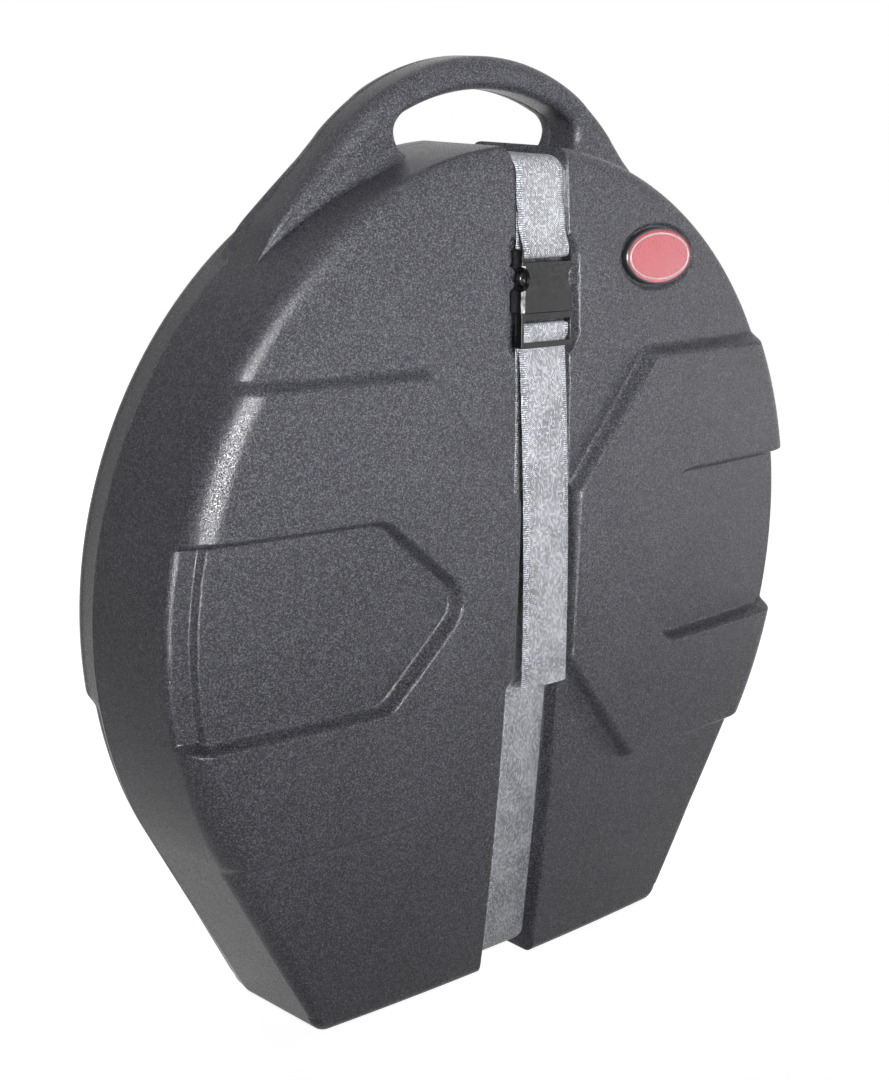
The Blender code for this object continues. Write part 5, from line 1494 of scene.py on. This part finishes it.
@dataclass
class Strap:
    """The flat webbing that runs round the case in its groove.

    Places near the buckle are (u, w): u along the strap from the buckle's mouth, w above the groove's floor.
    """

    maker: MeshMaker
    finishes: Finishes
    half: float = 0.0225
    thick: float = 0.0016
    gap: float = 0.0003
    seam_gap: float = 0.0002
    mouth_z: float = 0.486
    lower_top_z: float = 0.455
    stitch_u: float = 0.072
    bar_u: float = 0.0400
    bar_w: float = 0.0038
    bar_half: float = 0.0020
    plug_length: float = 0.0240
    middle_top_u: float = -0.0095
    middle_foot_u: float = -0.0155
    middle_front_w: float = 0.0065
    tail_end: Pair = (0.2243, 0.0275)
    tail_middle: Pair = (0.357, 0.0200)
    easy_bend: float = 0.02
    tail_bend: float = 0.004
    loop_share: float = 0.98
    flat_power: float = 10.0
    step: float = 0.0016
    across: int = 19
    floor_points: int = 40
    tail_points: int = 50
    box_start: float = 0.040
    box_stop: float = 0.006
    box_margin: float = 0.0055
    stitch: float = 0.0032
    stitch_shares: tuple[float, ...] = (0.10, 0.30, 0.70, 0.90)
    stitch_levels: tuple[float, ...] = (0.1, 1.0, 1.0, 0.1)
    thread: float = 0.00045
    thread_sides: int = 6
    thread_rise: float = 0.6
    thread_sink: float = 0.4
    thread_bulge: float = 0.8
    look_ahead: float = 0.001

    @property
    def lift(self) -> float:
        """From the floor to the webbing's middle."""
        return self.gap + self.thick / 2

    @staticmethod
    def floor(z: float, side: Side) -> float:
        """Y of the groove's floor at a height, on the strap's middle line.

        Args:
            z: Up the case.
            side: Which shell's groove.

        Returns:
            The floor's Y, from the lid's rim.
        """
        dome = LID_GROOVE if side is Side.FRONT else BACK_FACE
        rise = dome.height(0.0, z) - CASE.groove_depth
        return -rise if side is Side.FRONT else CASE.back_rim_y + rise

    def spot(self, u: float, w: float) -> Pair:
        """(y, z) of a place (u, w) near the buckle, on axes square to the dome at the buckle's mouth.

        Args:
            u: Distance up from the buckle's mouth.
            w: Height above the floor.

        Returns:
            The place.
        """
        _, slope = LID_GROOVE.slope(0.0, self.mouth_z)
        size = math.hypot(slope, 1.0)
        y = self.floor(self.mouth_z, Side.FRONT) + (-slope * u - w) / size
        return y, self.mouth_z + (u - slope * w) / size

    def above_floor(self, u: float, more: float) -> Pair:
        """A place of the middle line at a u, on the curved floor or a given distance further out."""
        z = self.spot(u, 0.0)[1]
        return self.floor(z, Side.FRONT) - self.lift - more, z

    def stations(self, low: float, high: float, side: Side) -> list[Pair]:
        """Places of the middle line on the groove's floor, from the high end to the low end."""
        lift = self.lift * side.value
        return [(self.floor(z, side) + lift, z) for z in np.linspace(high, low, self.floor_points)]

    @staticmethod
    def rounded(points: Sequence[Pair], radii: Sequence[float], steps: int = 7) -> Array:
        """A route whose corners are turned into arcs that touch both straights.

        Args:
            points: Corners as (y, z).
            radii: Radius at each inner corner, or 0 to leave it.
            steps: Points on each arc.

        Returns:
            (n, 2) points.
        """
        line = np.array(points)
        route = [line[:1]]
        for before, here, after, radius in zip(line, line[1:], line[2:], radii):
            first = (here - before) / np.linalg.norm(here - before)
            second = (after - here) / np.linalg.norm(after - here)
            turn = math.acos(float(np.clip(first @ second, -1, 1)))
            if not radius or turn < math.radians(2):
                route.append(here[None])
                continue
            start = here - first * radius * math.tan(turn / 2)
            side = 1.0 if first[0] * second[1] - first[1] * second[0] > 0 else -1.0
            centre = start + np.array([-first[1], first[0]]) * side * radius
            y, z = start - centre
            angle = np.linspace(0, side * turn, steps)
            c, s = np.cos(angle), np.sin(angle)
            route.append(centre + np.stack([y * c - z * s, y * s + z * c], 1))
        return np.concatenate([*route, line[-1:]])

    def even(self, route: Array) -> Array:
        """The same route without doubles, with points an even step apart."""
        route = route[np.concatenate([[True], np.diff(run_along(route)) > TOUCHING])]
        return even_points(route, max(int(run_along(route)[-1] / self.step), 2) + 1)

    def ribbon(self, name: str, route: Array) -> Piece:
        """Carry the strap's section along a route.

        The section is a flat oval, whose thickness is the root of 1 less a high power of the share across.

        Args:
            name: Name of the piece.
            route: (n, 2) places of its middle.

        Returns:
            The closed webbing with a map of its weave, in metres across and along.
        """
        line = self.even(route)
        run = np.gradient(line, axis=0)
        run /= np.linalg.norm(run, axis=1, keepdims=True)
        across = np.linspace(-1.0, 1.0, self.across)
        thin = np.sqrt(np.clip(1.0 - np.abs(across) ** self.flat_power, 0.0, 1.0)) / 2
        sideways = np.concatenate([across, across[::-1]]) * self.half
        out = np.concatenate([thin, -thin[::-1]]) * self.thick
        y = line[:, 0, None] - run[:, 1, None] * out
        z = line[:, 1, None] + run[:, 0, None] * out
        piece = self.maker.sheet(name, np.stack([np.broadcast_to(sideways, y.shape), y, z], -1), True)
        corner = np.empty(len(piece.data.loops), np.int32)
        piece.data.loops.foreach_get("vertex_index", corner)
        row, column = np.divmod(corner, len(sideways))
        weave = np.stack([sideways[column], run_along(line)[row]], 1).astype(np.float32)
        piece.data.uv_layers.new(name=WEAVE_MAP).data.foreach_set("uv", weave.ravel())
        return sharpen(mended(piece, TOUCHING, fill=True), CREASE)

    def back_route(self) -> Array:
        """From the seam on top, down the back and under the foot to the seam.

        Returns:
            The middle line's points.
        """
        bend = CASE.edge + self.lift
        top, foot = CASE.groove_top_z + self.lift, CASE.groove_foot_z - self.lift
        middle = self.stations(foot + bend, top - bend, Side.BACK)
        seam_y = CASE.seam_y + self.seam_gap
        points = [(seam_y, top), (middle[0][0], top), *middle[1:-1], (middle[-1][0], foot), (seam_y, foot)]
        return self.rounded(points, [bend] + [0] * (len(middle) - 2) + [bend])

    def upper_route(self) -> Array:
        """From the seam on top to the socket's bar, round it and up again to the stitches.

        Returns:
            The middle line's points.
        """
        bend = CASE.edge + self.lift
        top = CASE.groove_top_z + self.lift
        single = self.stations(self.spot(self.stitch_u, 0.0)[1], top - bend, Side.FRONT)
        layer = self.thick + self.gap
        loop = self.bar_half + 2 * self.gap + self.thick / 2
        meet = (self.bar_u + self.stitch_u) / 2
        end = self.stitch_u - 3 * self.thick
        points = [(CASE.seam_y - self.seam_gap, top), (single[0][0], top), *single[1:]]
        points += [self.above_floor(end, layer), self.above_floor(meet, layer)]
        for along, out in ((loop, loop), (-loop, loop), (-loop, -loop), (loop, -loop)):
            points.append(self.spot(self.bar_u + along, self.bar_w + out))
        points += [self.above_floor(meet, 0.0), self.above_floor(end - self.gap, 0.0)]
        tight, easy = loop * self.loop_share, self.easy_bend
        radii = [bend] + [0] * (len(single) - 1) + [easy, easy, loop, tight, tight, loop, easy]
        return self.rounded(points, radii)

    def lower_route(self) -> Array:
        """From the well behind the plug, down the groove and under the foot to the seam.

        Returns:
            The middle line's points.
        """
        bend = CASE.edge + self.lift
        foot = CASE.groove_foot_z - self.lift
        middle = self.stations(foot + bend, self.lower_top_z, Side.FRONT)
        points = [self.spot(self.middle_top_u, self.lift), *middle[:-1]]
        points += [(middle[-1][0], foot), (CASE.seam_y - self.seam_gap, foot)]
        return self.rounded(points, [0] * (len(middle) - 1) + [bend])

    def tail_route(self) -> Array:
        """Up behind the plug, over its middle bar, behind its bottom bar and down to the loose end.

        Below the plug the tail hangs on a parabola through the plug's end, the tail's middle and its end.

        Returns:
            The middle line's points.
        """
        layer, bend = self.thick + self.gap, self.thick
        rear, tail = self.lift + layer, self.lift + 2 * layer
        front = self.middle_front_w + self.lift
        over = self.middle_top_u + self.lift + self.gap
        under = self.middle_foot_u - self.thick / 2
        places = ((-self.plug_length - 2 * self.thick, rear), (over, rear), (over, front), (under, front))
        places += ((under - 2 * self.thick, tail), (-self.plug_length, tail))
        points = [self.spot(u, w) for u, w in places]
        y, z = points[-1]
        known = np.array([(z, -y), self.tail_middle, self.tail_end])
        curve = np.polyfit(known[:, 0], known[:, 1], 2)
        hang = np.linspace(z, self.tail_end[0], self.tail_points)[1:]
        points += zip(-np.polyval(curve, hang), hang)
        return self.rounded(points, [bend, bend, bend / 2, bend / 2, self.tail_bend] + [0] * (len(hang) - 1))

    def stitches(self, name: str, route: Array, start: float, stop: float, body: str) -> Piece:
        """Rows of thread that make a box with a cross, standing a little proud of the webbing.

        Each stitch is a bar of six sides that follows the route. Its four rings lie at shares of its length,
        and the outer two are lower, so that its ends dip into the webbing.

        Args:
            name: Name of the piece.
            route: The webbing's middle line.
            start: Length along it where the box starts.
            stop: Length along it where the box ends.
            body: The body that the thread rides on.

        Returns:
            The thread's piece.
        """
        side = self.half - self.box_margin
        corners = np.array([(-side, start), (side, start), (side, stop), (-side, stop)])
        spots, ways = [], []
        for first, last in ((0, 1), (1, 2), (2, 3), (3, 0), (0, 2), (1, 3)):
            run = corners[last] - corners[first]
            count = max(int(np.linalg.norm(run) / self.stitch), 2)
            share = (np.arange(count)[:, None] + np.array(self.stitch_shares)) / count
            spots.append(mix(corners[first], corners[last], share[..., None]))
            ways.append(np.tile(run / np.linalg.norm(run), (count, 1)))
        spot, way = np.concatenate(spots), np.concatenate(ways)[:, None, None]
        at = places_along(route, spot[..., 1])
        run = places_along(route, spot[..., 1] + self.look_ahead) - at
        run /= np.linalg.norm(run, axis=-1, keepdims=True)
        turn = np.arange(self.thread_sides) / self.thread_sides * math.tau
        x = spot[..., 0, None] - self.thread * np.cos(turn) * way[..., 1]
        along = self.thread * np.cos(turn) * way[..., 0]
        level = np.array(self.stitch_levels)[:, None] * self.thread_rise - self.thread_sink
        out = self.thick / 2 + self.thread * (level + self.thread_bulge * np.sin(turn))
        y = at[..., 0, None] + run[..., 0, None] * along - run[..., 1, None] * out
        z = at[..., 1, None] + run[..., 1, None] * along + run[..., 0, None] * out
        places = np.stack([x, y, z], -1)
        number = np.arange(x.size).reshape(x.shape)
        after = np.roll(number, -1, 2)
        quads = np.stack([number[:, :-1], after[:, :-1], after[:, 1:], number[:, 1:]], -1)
        caps = np.stack([number[:, 0, ::-1], number[:, -1]], 1)
        faces = [quads.reshape(-1, 4), caps.reshape(-1, self.thread_sides)]
        piece = mended(self.maker.mesh(name, places.reshape(-1, 3), faces))
        return dress(piece, self.finishes.thread, body)

    def build(self) -> list[Piece]:
        """Make the four stretches of webbing and their stitches.

        Returns:
            The pieces.
        """
        tail = self.tail_route()
        plan = (
            ("strap_back", self.back_route(), "base"),
            ("strap_upper", self.upper_route(), "lid"),
            ("strap_lower", self.lower_route(), "lid"),
            ("strap_tail", tail, "plug"),
        )
        made = []
        for node, route, body in plan:
            piece = self.ribbon(node + "_webbing", route)
            made.append(dress(piece, self.finishes.webbing, body, node))
        tail = self.even(tail)
        end = run_along(tail)[-1]
        made.append(self.stitches("tail_stitches", tail, end - self.box_start, end - self.box_stop, "plug"))
        return made


@dataclass
class Buckle:
    """Side release buckle: socket, plug and its two sprung arms. The plan holds node, body and rounding."""

    nodes: dict[str, Piece]
    finishes: Finishes
    plan: tuple[tuple[str, str, float], ...] = (
        ("buckle_socket", "lid", 0.0009),
        ("buckle_plug", "plug", 0.0006),
        ("prong_right", "right_prong", 0.0006),
        ("prong_left", "left_prong", 0.0006),
    )

    def build(self) -> list[Piece]:
        """Round the edges of the solids and give them black plastic.

        Returns:
            The pieces.
        """
        made = []
        for node, body, width in self.plan:
            piece = softened(node + "_moulding", self.nodes[node], width)
            made.append(dress(piece, self.finishes.buckle, body, node))
        return made


@dataclass
class Badge:
    """Oval badge: a black frame, a red field and a raised silver ring."""

    maker: MeshMaker
    finishes: Finishes
    half_x: float = 0.0366
    half_z: float = 0.0192
    lift: float = 0.0006
    thick: float = 0.0045
    border: float = 0.0012
    lap: float = 0.0004
    lap_depth: float = 0.0008
    crest: float = 0.0002
    under: tuple[float, ...] = (0.004, 0.0185)
    field_rise: float = 0.0001
    field_step: float = 0.0015
    field_rings: int = 12
    field_pole: float = 0.0005
    field_round: float = 0.0006
    field_drop: float = 0.0003
    ring_inset: float = 0.0030
    ring_width: float = 0.0007
    ring_height: float = 0.0006
    ring_steps: int = 9
    steps: int = 144

    @staticmethod
    def seat() -> tuple[Array, Array, Array, Array]:
        """Origin and axes of the badge, on the floor of its seat and square to the dome under it.

        Returns:
            The origin and the axes across, up and out.
        """
        x, z = CASE.badge_x, CASE.badge_z
        slope_x, slope_z = LID_FACE.slope(x, z)
        across = np.array([1.0, -slope_x, 0.0])
        up = np.array([0.0, -slope_z, 1.0])
        across /= np.linalg.norm(across)
        up /= np.linalg.norm(up)
        out = np.cross(across, up)
        out *= -np.sign(out[1])
        out /= np.linalg.norm(out)
        floor = LID_FACE.height(x, z) - Relief.seat_depth
        return np.array([x, -floor, z]), across, up, out

    def turned(self, name: str, profile: Sequence[Pair], pole: bool) -> Piece:
        """Carry a profile round the oval, each point at its inset from it and its level above the seat.

        Args:
            name: Name of the piece.
            profile: (inset from the oval, level above the seat) pairs.
            pole: Whether a point closes the middle.

        Returns:
            The new piece.
        """
        origin, across, up, out = self.seat()
        turn = np.arange(self.steps) / self.steps * math.tau
        inset, level = np.array(profile).T[:, :, None, None]
        x = (self.half_x - inset) * np.cos(turn)[:, None]
        z = (self.half_z - inset) * np.sin(turn)[:, None]
        grid = origin + x * across + z * up + level * out
        return self.maker.sheet(name, grid, True, tip=grid[0].mean(0) if pole else None, flip=True)

    def build(self) -> list[Piece]:
        """Make the frame, the field and the ring.

        Returns:
            The pieces.
        """
        top, b = self.lift + self.thick, self.border
        frame = [(self.lap, top - self.lap_depth), (self.lap, top), (0.0, top + self.crest), (-b * 0.5, top)]
        frame += [(-b, top - b), (-b, self.lift)] + [(inset, self.lift) for inset in self.under]
        holder = sharpen(self.turned("badge_frame", frame, False), CREASE)
        insets = self.half_z - self.field_pole - self.field_step * np.arange(self.field_rings)
        field = [(inset, top + self.field_rise) for inset in insets]
        field += [(self.field_round, top), (self.lap, top - self.field_drop)]
        plate = sharpen(self.turned("badge_field", field, True), CREASE)
        arc = np.linspace(0.0, math.pi, self.ring_steps)
        inset, level = self.ring_inset + self.ring_width * np.cos(arc), top + self.ring_height * np.sin(arc)
        ring = np.stack([inset, level], 1)
        silver = self.turned("badge_ring", ring, False)
        return [
            dress(holder, self.finishes.badge_black, "lid", "badge_holder"),
            dress(plate, self.finishes.badge_red, "lid", "badge_plate"),
            dress(silver, self.finishes.badge_silver, "lid"),
        ]


@dataclass
class Inside:
    """Foam discs, and the post with its flange, cup, felts, washer and wing nut."""

    maker: MeshMaker
    nodes: dict[str, Piece]
    finishes: Finishes
    foam_round: float = 0.004
    back_foam_bore: float = 0.036
    disc_bore: float = 0.0043
    closed_bore: float = 0.00001
    wide: float = 0.1
    wide_steps: int = 180
    narrow_steps: int = 64
    arc_steps: int = 6
    edge_round: float = 0.0004
    pitch: float = 0.00125
    thread_depth: float = 0.0006
    thread_start: float = 0.0009
    thread_steep: float = 1.3
    thread_flat: float = 0.15
    thread_rows: int = 7
    post_steps: int = 40
    cap_share: float = 0.02
    thread_crease: float = 70.0

    def limits(self, node: str) -> Triple:
        """Radius, near Y and far Y of a turned solid, from the rim's plane.

        Args:
            node: Name of the solid.

        Returns:
            The three measures.
        """
        low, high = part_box(node)
        shift = self.maker.offset[1]
        return (high.x - low.x) / 2, low.y - shift, high.y - shift

    def turned(self, name: str, profile: Sequence[Pair], steps: int) -> Piece:
        """Turn a profile of (radius, y) about the post's line.

        Args:
            name: Name of the piece.
            profile: The profile's points.
            steps: How many copies of it stand round the line.

        Returns:
            The new piece.
        """
        turn = np.arange(steps) / steps * math.tau
        radius, y = np.array(profile).T[:, :, None]
        x, z = radius * np.cos(turn), CASE.centre_z + radius * np.sin(turn)
        grid = np.stack([x, np.broadcast_to(y, x.shape), z], -1)
        return sharpen(mended(self.maker.sheet(name, grid, True), TOUCHING), CREASE)

    def disc(self, name: str, node: str, bore: float, rounding: float) -> Piece:
        """A disc or washer as large as its solid, whose two outer edges are quarter circles.

        Args:
            name: Name of the piece.
            node: The solid that it covers.
            bore: Radius of its hole, or 0 for none.
            rounding: Radius of its edges.

        Returns:
            The new piece.
        """
        radius, near, far = self.limits(node)
        arc = np.linspace(0, math.pi / 2, self.arc_steps)
        less, more = rounding * (1 - np.sin(arc)), rounding * (1 - np.cos(arc))
        hub = max(bore, self.closed_bore)
        profile = [(hub, near), *zip(radius - less, near + more), *zip(radius - more, far - less), (hub, far)]
        if bore:
            profile.append(profile[0])
        return self.turned(name, profile, self.wide_steps if radius > self.wide else self.narrow_steps)

    def post(self) -> Piece:
        """The threaded post: its radius dips once for each turn of a helix that climbs one pitch a turn.

        Returns:
            The new piece, with both ends drawn to a near point.
        """
        radius, near, far = self.limits("centre_post")
        levels = np.linspace(near, far, int((far - near) / self.pitch * self.thread_rows))
        turns = np.arange(self.post_steps) / self.post_steps * math.tau
        y, turn = np.meshgrid(levels, turns, indexing="ij")
        phase = (y - near) / self.pitch - turn / math.tau
        wave = np.abs((phase % 1.0) * 2.0 - 1.0)
        size = radius - self.thread_depth * np.clip(wave * self.thread_steep - self.thread_flat, 0.0, 1.0)
        size = np.minimum(size, radius - self.thread_start + np.minimum(y - near, self.thread_start))
        grid = np.stack([size * np.cos(turn), y, CASE.centre_z + size * np.sin(turn)], -1)
        narrow = np.array([self.cap_share, 1.0, self.cap_share])
        middle = np.array([0.0, 0.0, CASE.centre_z * (1.0 - self.cap_share)])
        grid = np.concatenate([[grid[0] * narrow + middle], grid, [grid[-1] * narrow + middle]])
        return sharpen(self.maker.sheet("centre_post_thread", grid, True), self.thread_crease)

    def build(self) -> list[Piece]:
        """Make every piece inside the case.

        Returns:
            The pieces.
        """
        f = self.finishes
        made = []
        for node, body, bore in (("front_foam", "lid", 0.0), ("back_foam", "base", self.back_foam_bore)):
            piece = dress(self.disc(node + "_pad", node, bore, self.foam_round), f.foam, body, node)
            made.append(piece)
        discs = (
            ("base_cup", "base", f.buckle, "buckle_plastic", 0.0008),
            ("lower_felt", "base", f.felt, "felt", 0.0015),
            ("upper_felt", "clamp", f.felt, "felt", 0.0012),
            ("clamp_washer", "clamp", f.steel, "steel", 0.0004),
        )
        for node, body, material, slot, rounding in discs:
            piece = self.disc(node + "_round", node, self.disc_bore, rounding)
            made.append(dress(piece, material, body, node))
        made.append(dress(self.post(), f.steel, "base", "centre_post"))
        solids = [("post_flange", "base"), ("wing_nut", "nut")]
        solids += [(f"flange_screw_{k}", "base") for k in range(1, 5)]
        for node, body in solids:
            piece = softened(node + "_finished", self.nodes[node], self.edge_round)
            made.append(dress(piece, f.steel, body, node))
        return made


class Shine(Enum):
    """What a lamp does: lights and glints, only glints in glossy surfaces, or only lights without a glint."""

    BOTH = "both"
    GLINT = "glint"
    FILL = "fill"


@dataclass(frozen=True)
class Lamp:
    """One soft square lamp: where it hangs and looks, its width, power, beam in degrees and shine."""

    name: str
    place: Triple
    aim: Triple
    size: float
    watts: float
    beam: float = 180.0
    shine: Shine = Shine.BOTH


@dataclass
class Studio:
    """Camera at the photograph's angle, pale floor and soft light."""

    rim_y: float
    yaw: float = 44.00
    pitch: float = 13.94
    roll: float = -2.38
    focal_pixels: float = 1838.8
    frame_height: float = 1080.0
    sensor: float = 36.0
    clip_start: float = 0.01
    place: Triple = (-0.9128, -0.8660, 0.6339)
    floor_half: float = 9.0
    floor_tone: float = 0.46
    floor_glow: float = 0.92
    glow_from: float = 0.35
    glow_to: float = 1.60
    world_light: float = 0.05
    lamps: tuple[Lamp, ...] = (
        Lamp("flash", (-0.62, -1.52, 0.74), (-0.07, 0.0, 0.58), 0.7, 3.0, 44.0),
        Lamp("glint", (-0.88, -1.40, 0.72), (-0.14, 0.0, 0.50), 0.40, 14.0, 40.0, Shine.GLINT),
        Lamp("right_low", (1.55, -0.75, 0.30), (0.24, 0.0, 0.36), 0.6, 0.35, 34.0),
        Lamp("top", (0.0, -0.3, 2.4), (0.0, 0.0, 0.33), 1.2, 1.6),
        Lamp("left", (-2.4, 0.3, 1.4), (0.0, 0.0, 0.45), 1.2, 0.5),
        Lamp("rear", (1.2, 2.4, 0.75), (0.0, 0.0, 0.33), 1.2, 11.0, 60.0, Shine.FILL),
    )

    def camera(self) -> None:
        """Place the camera from its yaw to the right of +Y, its pitch down and its roll."""
        yaw, pitch, roll = (math.radians(v) for v in (self.yaw, self.pitch, self.roll))
        ahead = np.array([math.sin(yaw) * math.cos(pitch), math.cos(yaw) * math.cos(pitch), -math.sin(pitch)])
        right = np.array([math.cos(yaw), -math.sin(yaw), 0.0])
        down = np.cross(ahead, right)
        c, s = math.cos(roll), math.sin(roll)
        across, below = c * right + s * down, -s * right + c * down
        data = bpy.data.cameras.new("photo_camera")
        data.sensor_fit = "AUTO"
        data.sensor_width = self.sensor
        data.lens = self.sensor * self.focal_pixels / self.frame_height
        data.clip_start = self.clip_start
        camera = bpy.data.objects.new("photo_camera", data)
        matrix = Matrix.Identity(4)
        for row in range(3):
            matrix[row][0], matrix[row][1], matrix[row][2] = across[row], -below[row], -ahead[row]
            matrix[row][3] = self.place[row]
        matrix[1][3] += self.rim_y
        camera.matrix_world = matrix
        bpy.context.scene.collection.objects.link(camera)
        bpy.context.scene.camera = camera

    def area(self, lamp: Lamp) -> None:
        """Make one soft square lamp that looks at its aim.

        Args:
            lamp: The lamp.
        """
        data = bpy.data.lights.new(lamp.name, "AREA")
        data.shape = "SQUARE"
        data.size = lamp.size
        data.energy = lamp.watts
        data.spread = math.radians(lamp.beam)
        made = bpy.data.objects.new(lamp.name, data)
        way = Vector(lamp.aim) - Vector(lamp.place)
        made.matrix_world = Matrix.Translation(lamp.place) @ way.to_track_quat("-Z", "Y").to_matrix().to_4x4()
        made.visible_diffuse = lamp.shine is not Shine.GLINT
        made.visible_glossy = lamp.shine is not Shine.FILL
        bpy.context.scene.collection.objects.link(made)

    def backdrop(self) -> None:
        """A wide pale floor that camera, glossy and transmission rays see as white, with the shadow kept.

        It glows by itself a little less under the case and fully further out, where the lamps don't reach.
        """
        data = bpy.data.meshes.new("floor")
        r = self.floor_half
        data.from_pydata([(-r, -r, 0), (r, -r, 0), (r, r, 0), (-r, r, 0)], [], [(0, 1, 2, 3)])
        floor = bpy.data.objects.new("floor", data)
        bpy.context.scene.collection.objects.link(floor)
        n = Nodes("pale_floor")
        tone = self.floor_tone
        n.set(Base_Color=(tone, tone, tone, 1.0), Roughness=0.9, Specular_IOR_Level=0.0)
        path = n.add("ShaderNodeLightPath")
        seen = n.math("MAXIMUM", path.outputs["Is Camera Ray"], path.outputs["Is Glossy Ray"])
        seen = n.math("MAXIMUM", seen, path.outputs["Is Transmission Ray"])
        away = n.add("ShaderNodeVectorMath", {0: n.place}, operation="LENGTH").outputs["Value"]
        glow = n.span(away, self.glow_from, self.glow_to, self.floor_glow, 1.0)
        n.set(Emission_Color=(1.0, 1.0, 1.0, 1.0), Emission_Strength=n.math("MULTIPLY", seen, glow))
        data.materials.append(n.material)

    def world(self) -> None:
        """White for camera, glossy and transmission rays, and a soft even light for the rest."""
        world = bpy.data.worlds.new("studio")
        bpy.context.scene.world = world
        world.use_nodes = True
        tree = world.node_tree
        tree.nodes.clear()
        path = tree.nodes.new("ShaderNodeLightPath")
        lit = tree.nodes.new("ShaderNodeBackground")
        lit.name = "even_light"
        lit.inputs["Strength"].default_value = self.world_light
        white = tree.nodes.new("ShaderNodeBackground")
        white.inputs["Color"].default_value = (1.0, 1.0, 1.0, 1.0)
        seen = path.outputs["Is Camera Ray"]
        for kind in ("Is Transmission Ray", "Is Glossy Ray"):
            either = tree.nodes.new("ShaderNodeMath")
            either.operation = "MAXIMUM"
            tree.links.new(seen, either.inputs[0])
            tree.links.new(path.outputs[kind], either.inputs[1])
            seen = either.outputs[0]
        mixed = tree.nodes.new("ShaderNodeMixShader")
        tree.links.new(seen, mixed.inputs["Fac"])
        tree.links.new(lit.outputs[0], mixed.inputs[1])
        tree.links.new(white.outputs[0], mixed.inputs[2])
        out = tree.nodes.new("ShaderNodeOutputWorld")
        tree.links.new(mixed.outputs[0], out.inputs["Surface"])

    def build(self) -> None:
        """Set up the whole studio."""
        self.camera()
        self.backdrop()
        self.world()
        for lamp in self.lamps:
            self.area(lamp)
        settings = bpy.context.scene.view_settings
        settings.view_transform = "Standard"


def report(pieces: Iterable[Piece]) -> None:
    """Log each piece's name and how many faces it has."""
    for piece in pieces:
        log.info("%s: %d faces", piece.name, len(piece.data.polygons))


def main() -> None:
    """Build the case's looks around its frame, piece by piece."""
    logging.basicConfig(level=logging.INFO, format="%(message)s")
    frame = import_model()
    rim_y = float(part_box("front_shell")[1].y) - CASE.seam_y
    maker = MeshMaker(rim_y)
    Studio(rim_y).build()
    finishes = Finishes()
    nodes = frame["nodes"]
    makers: list[Callable[[], list[Piece]]] = [
        ShellMaker(maker, finishes).build,
        Strap(maker, finishes).build,
        Buckle(nodes, finishes).build,
        Badge(maker, finishes).build,
        Inside(maker, nodes, finishes).build,
    ]
    for make in makers:
        report(make())
    bpy.context.view_layer.update()


if __name__ == "__main__":
    main()
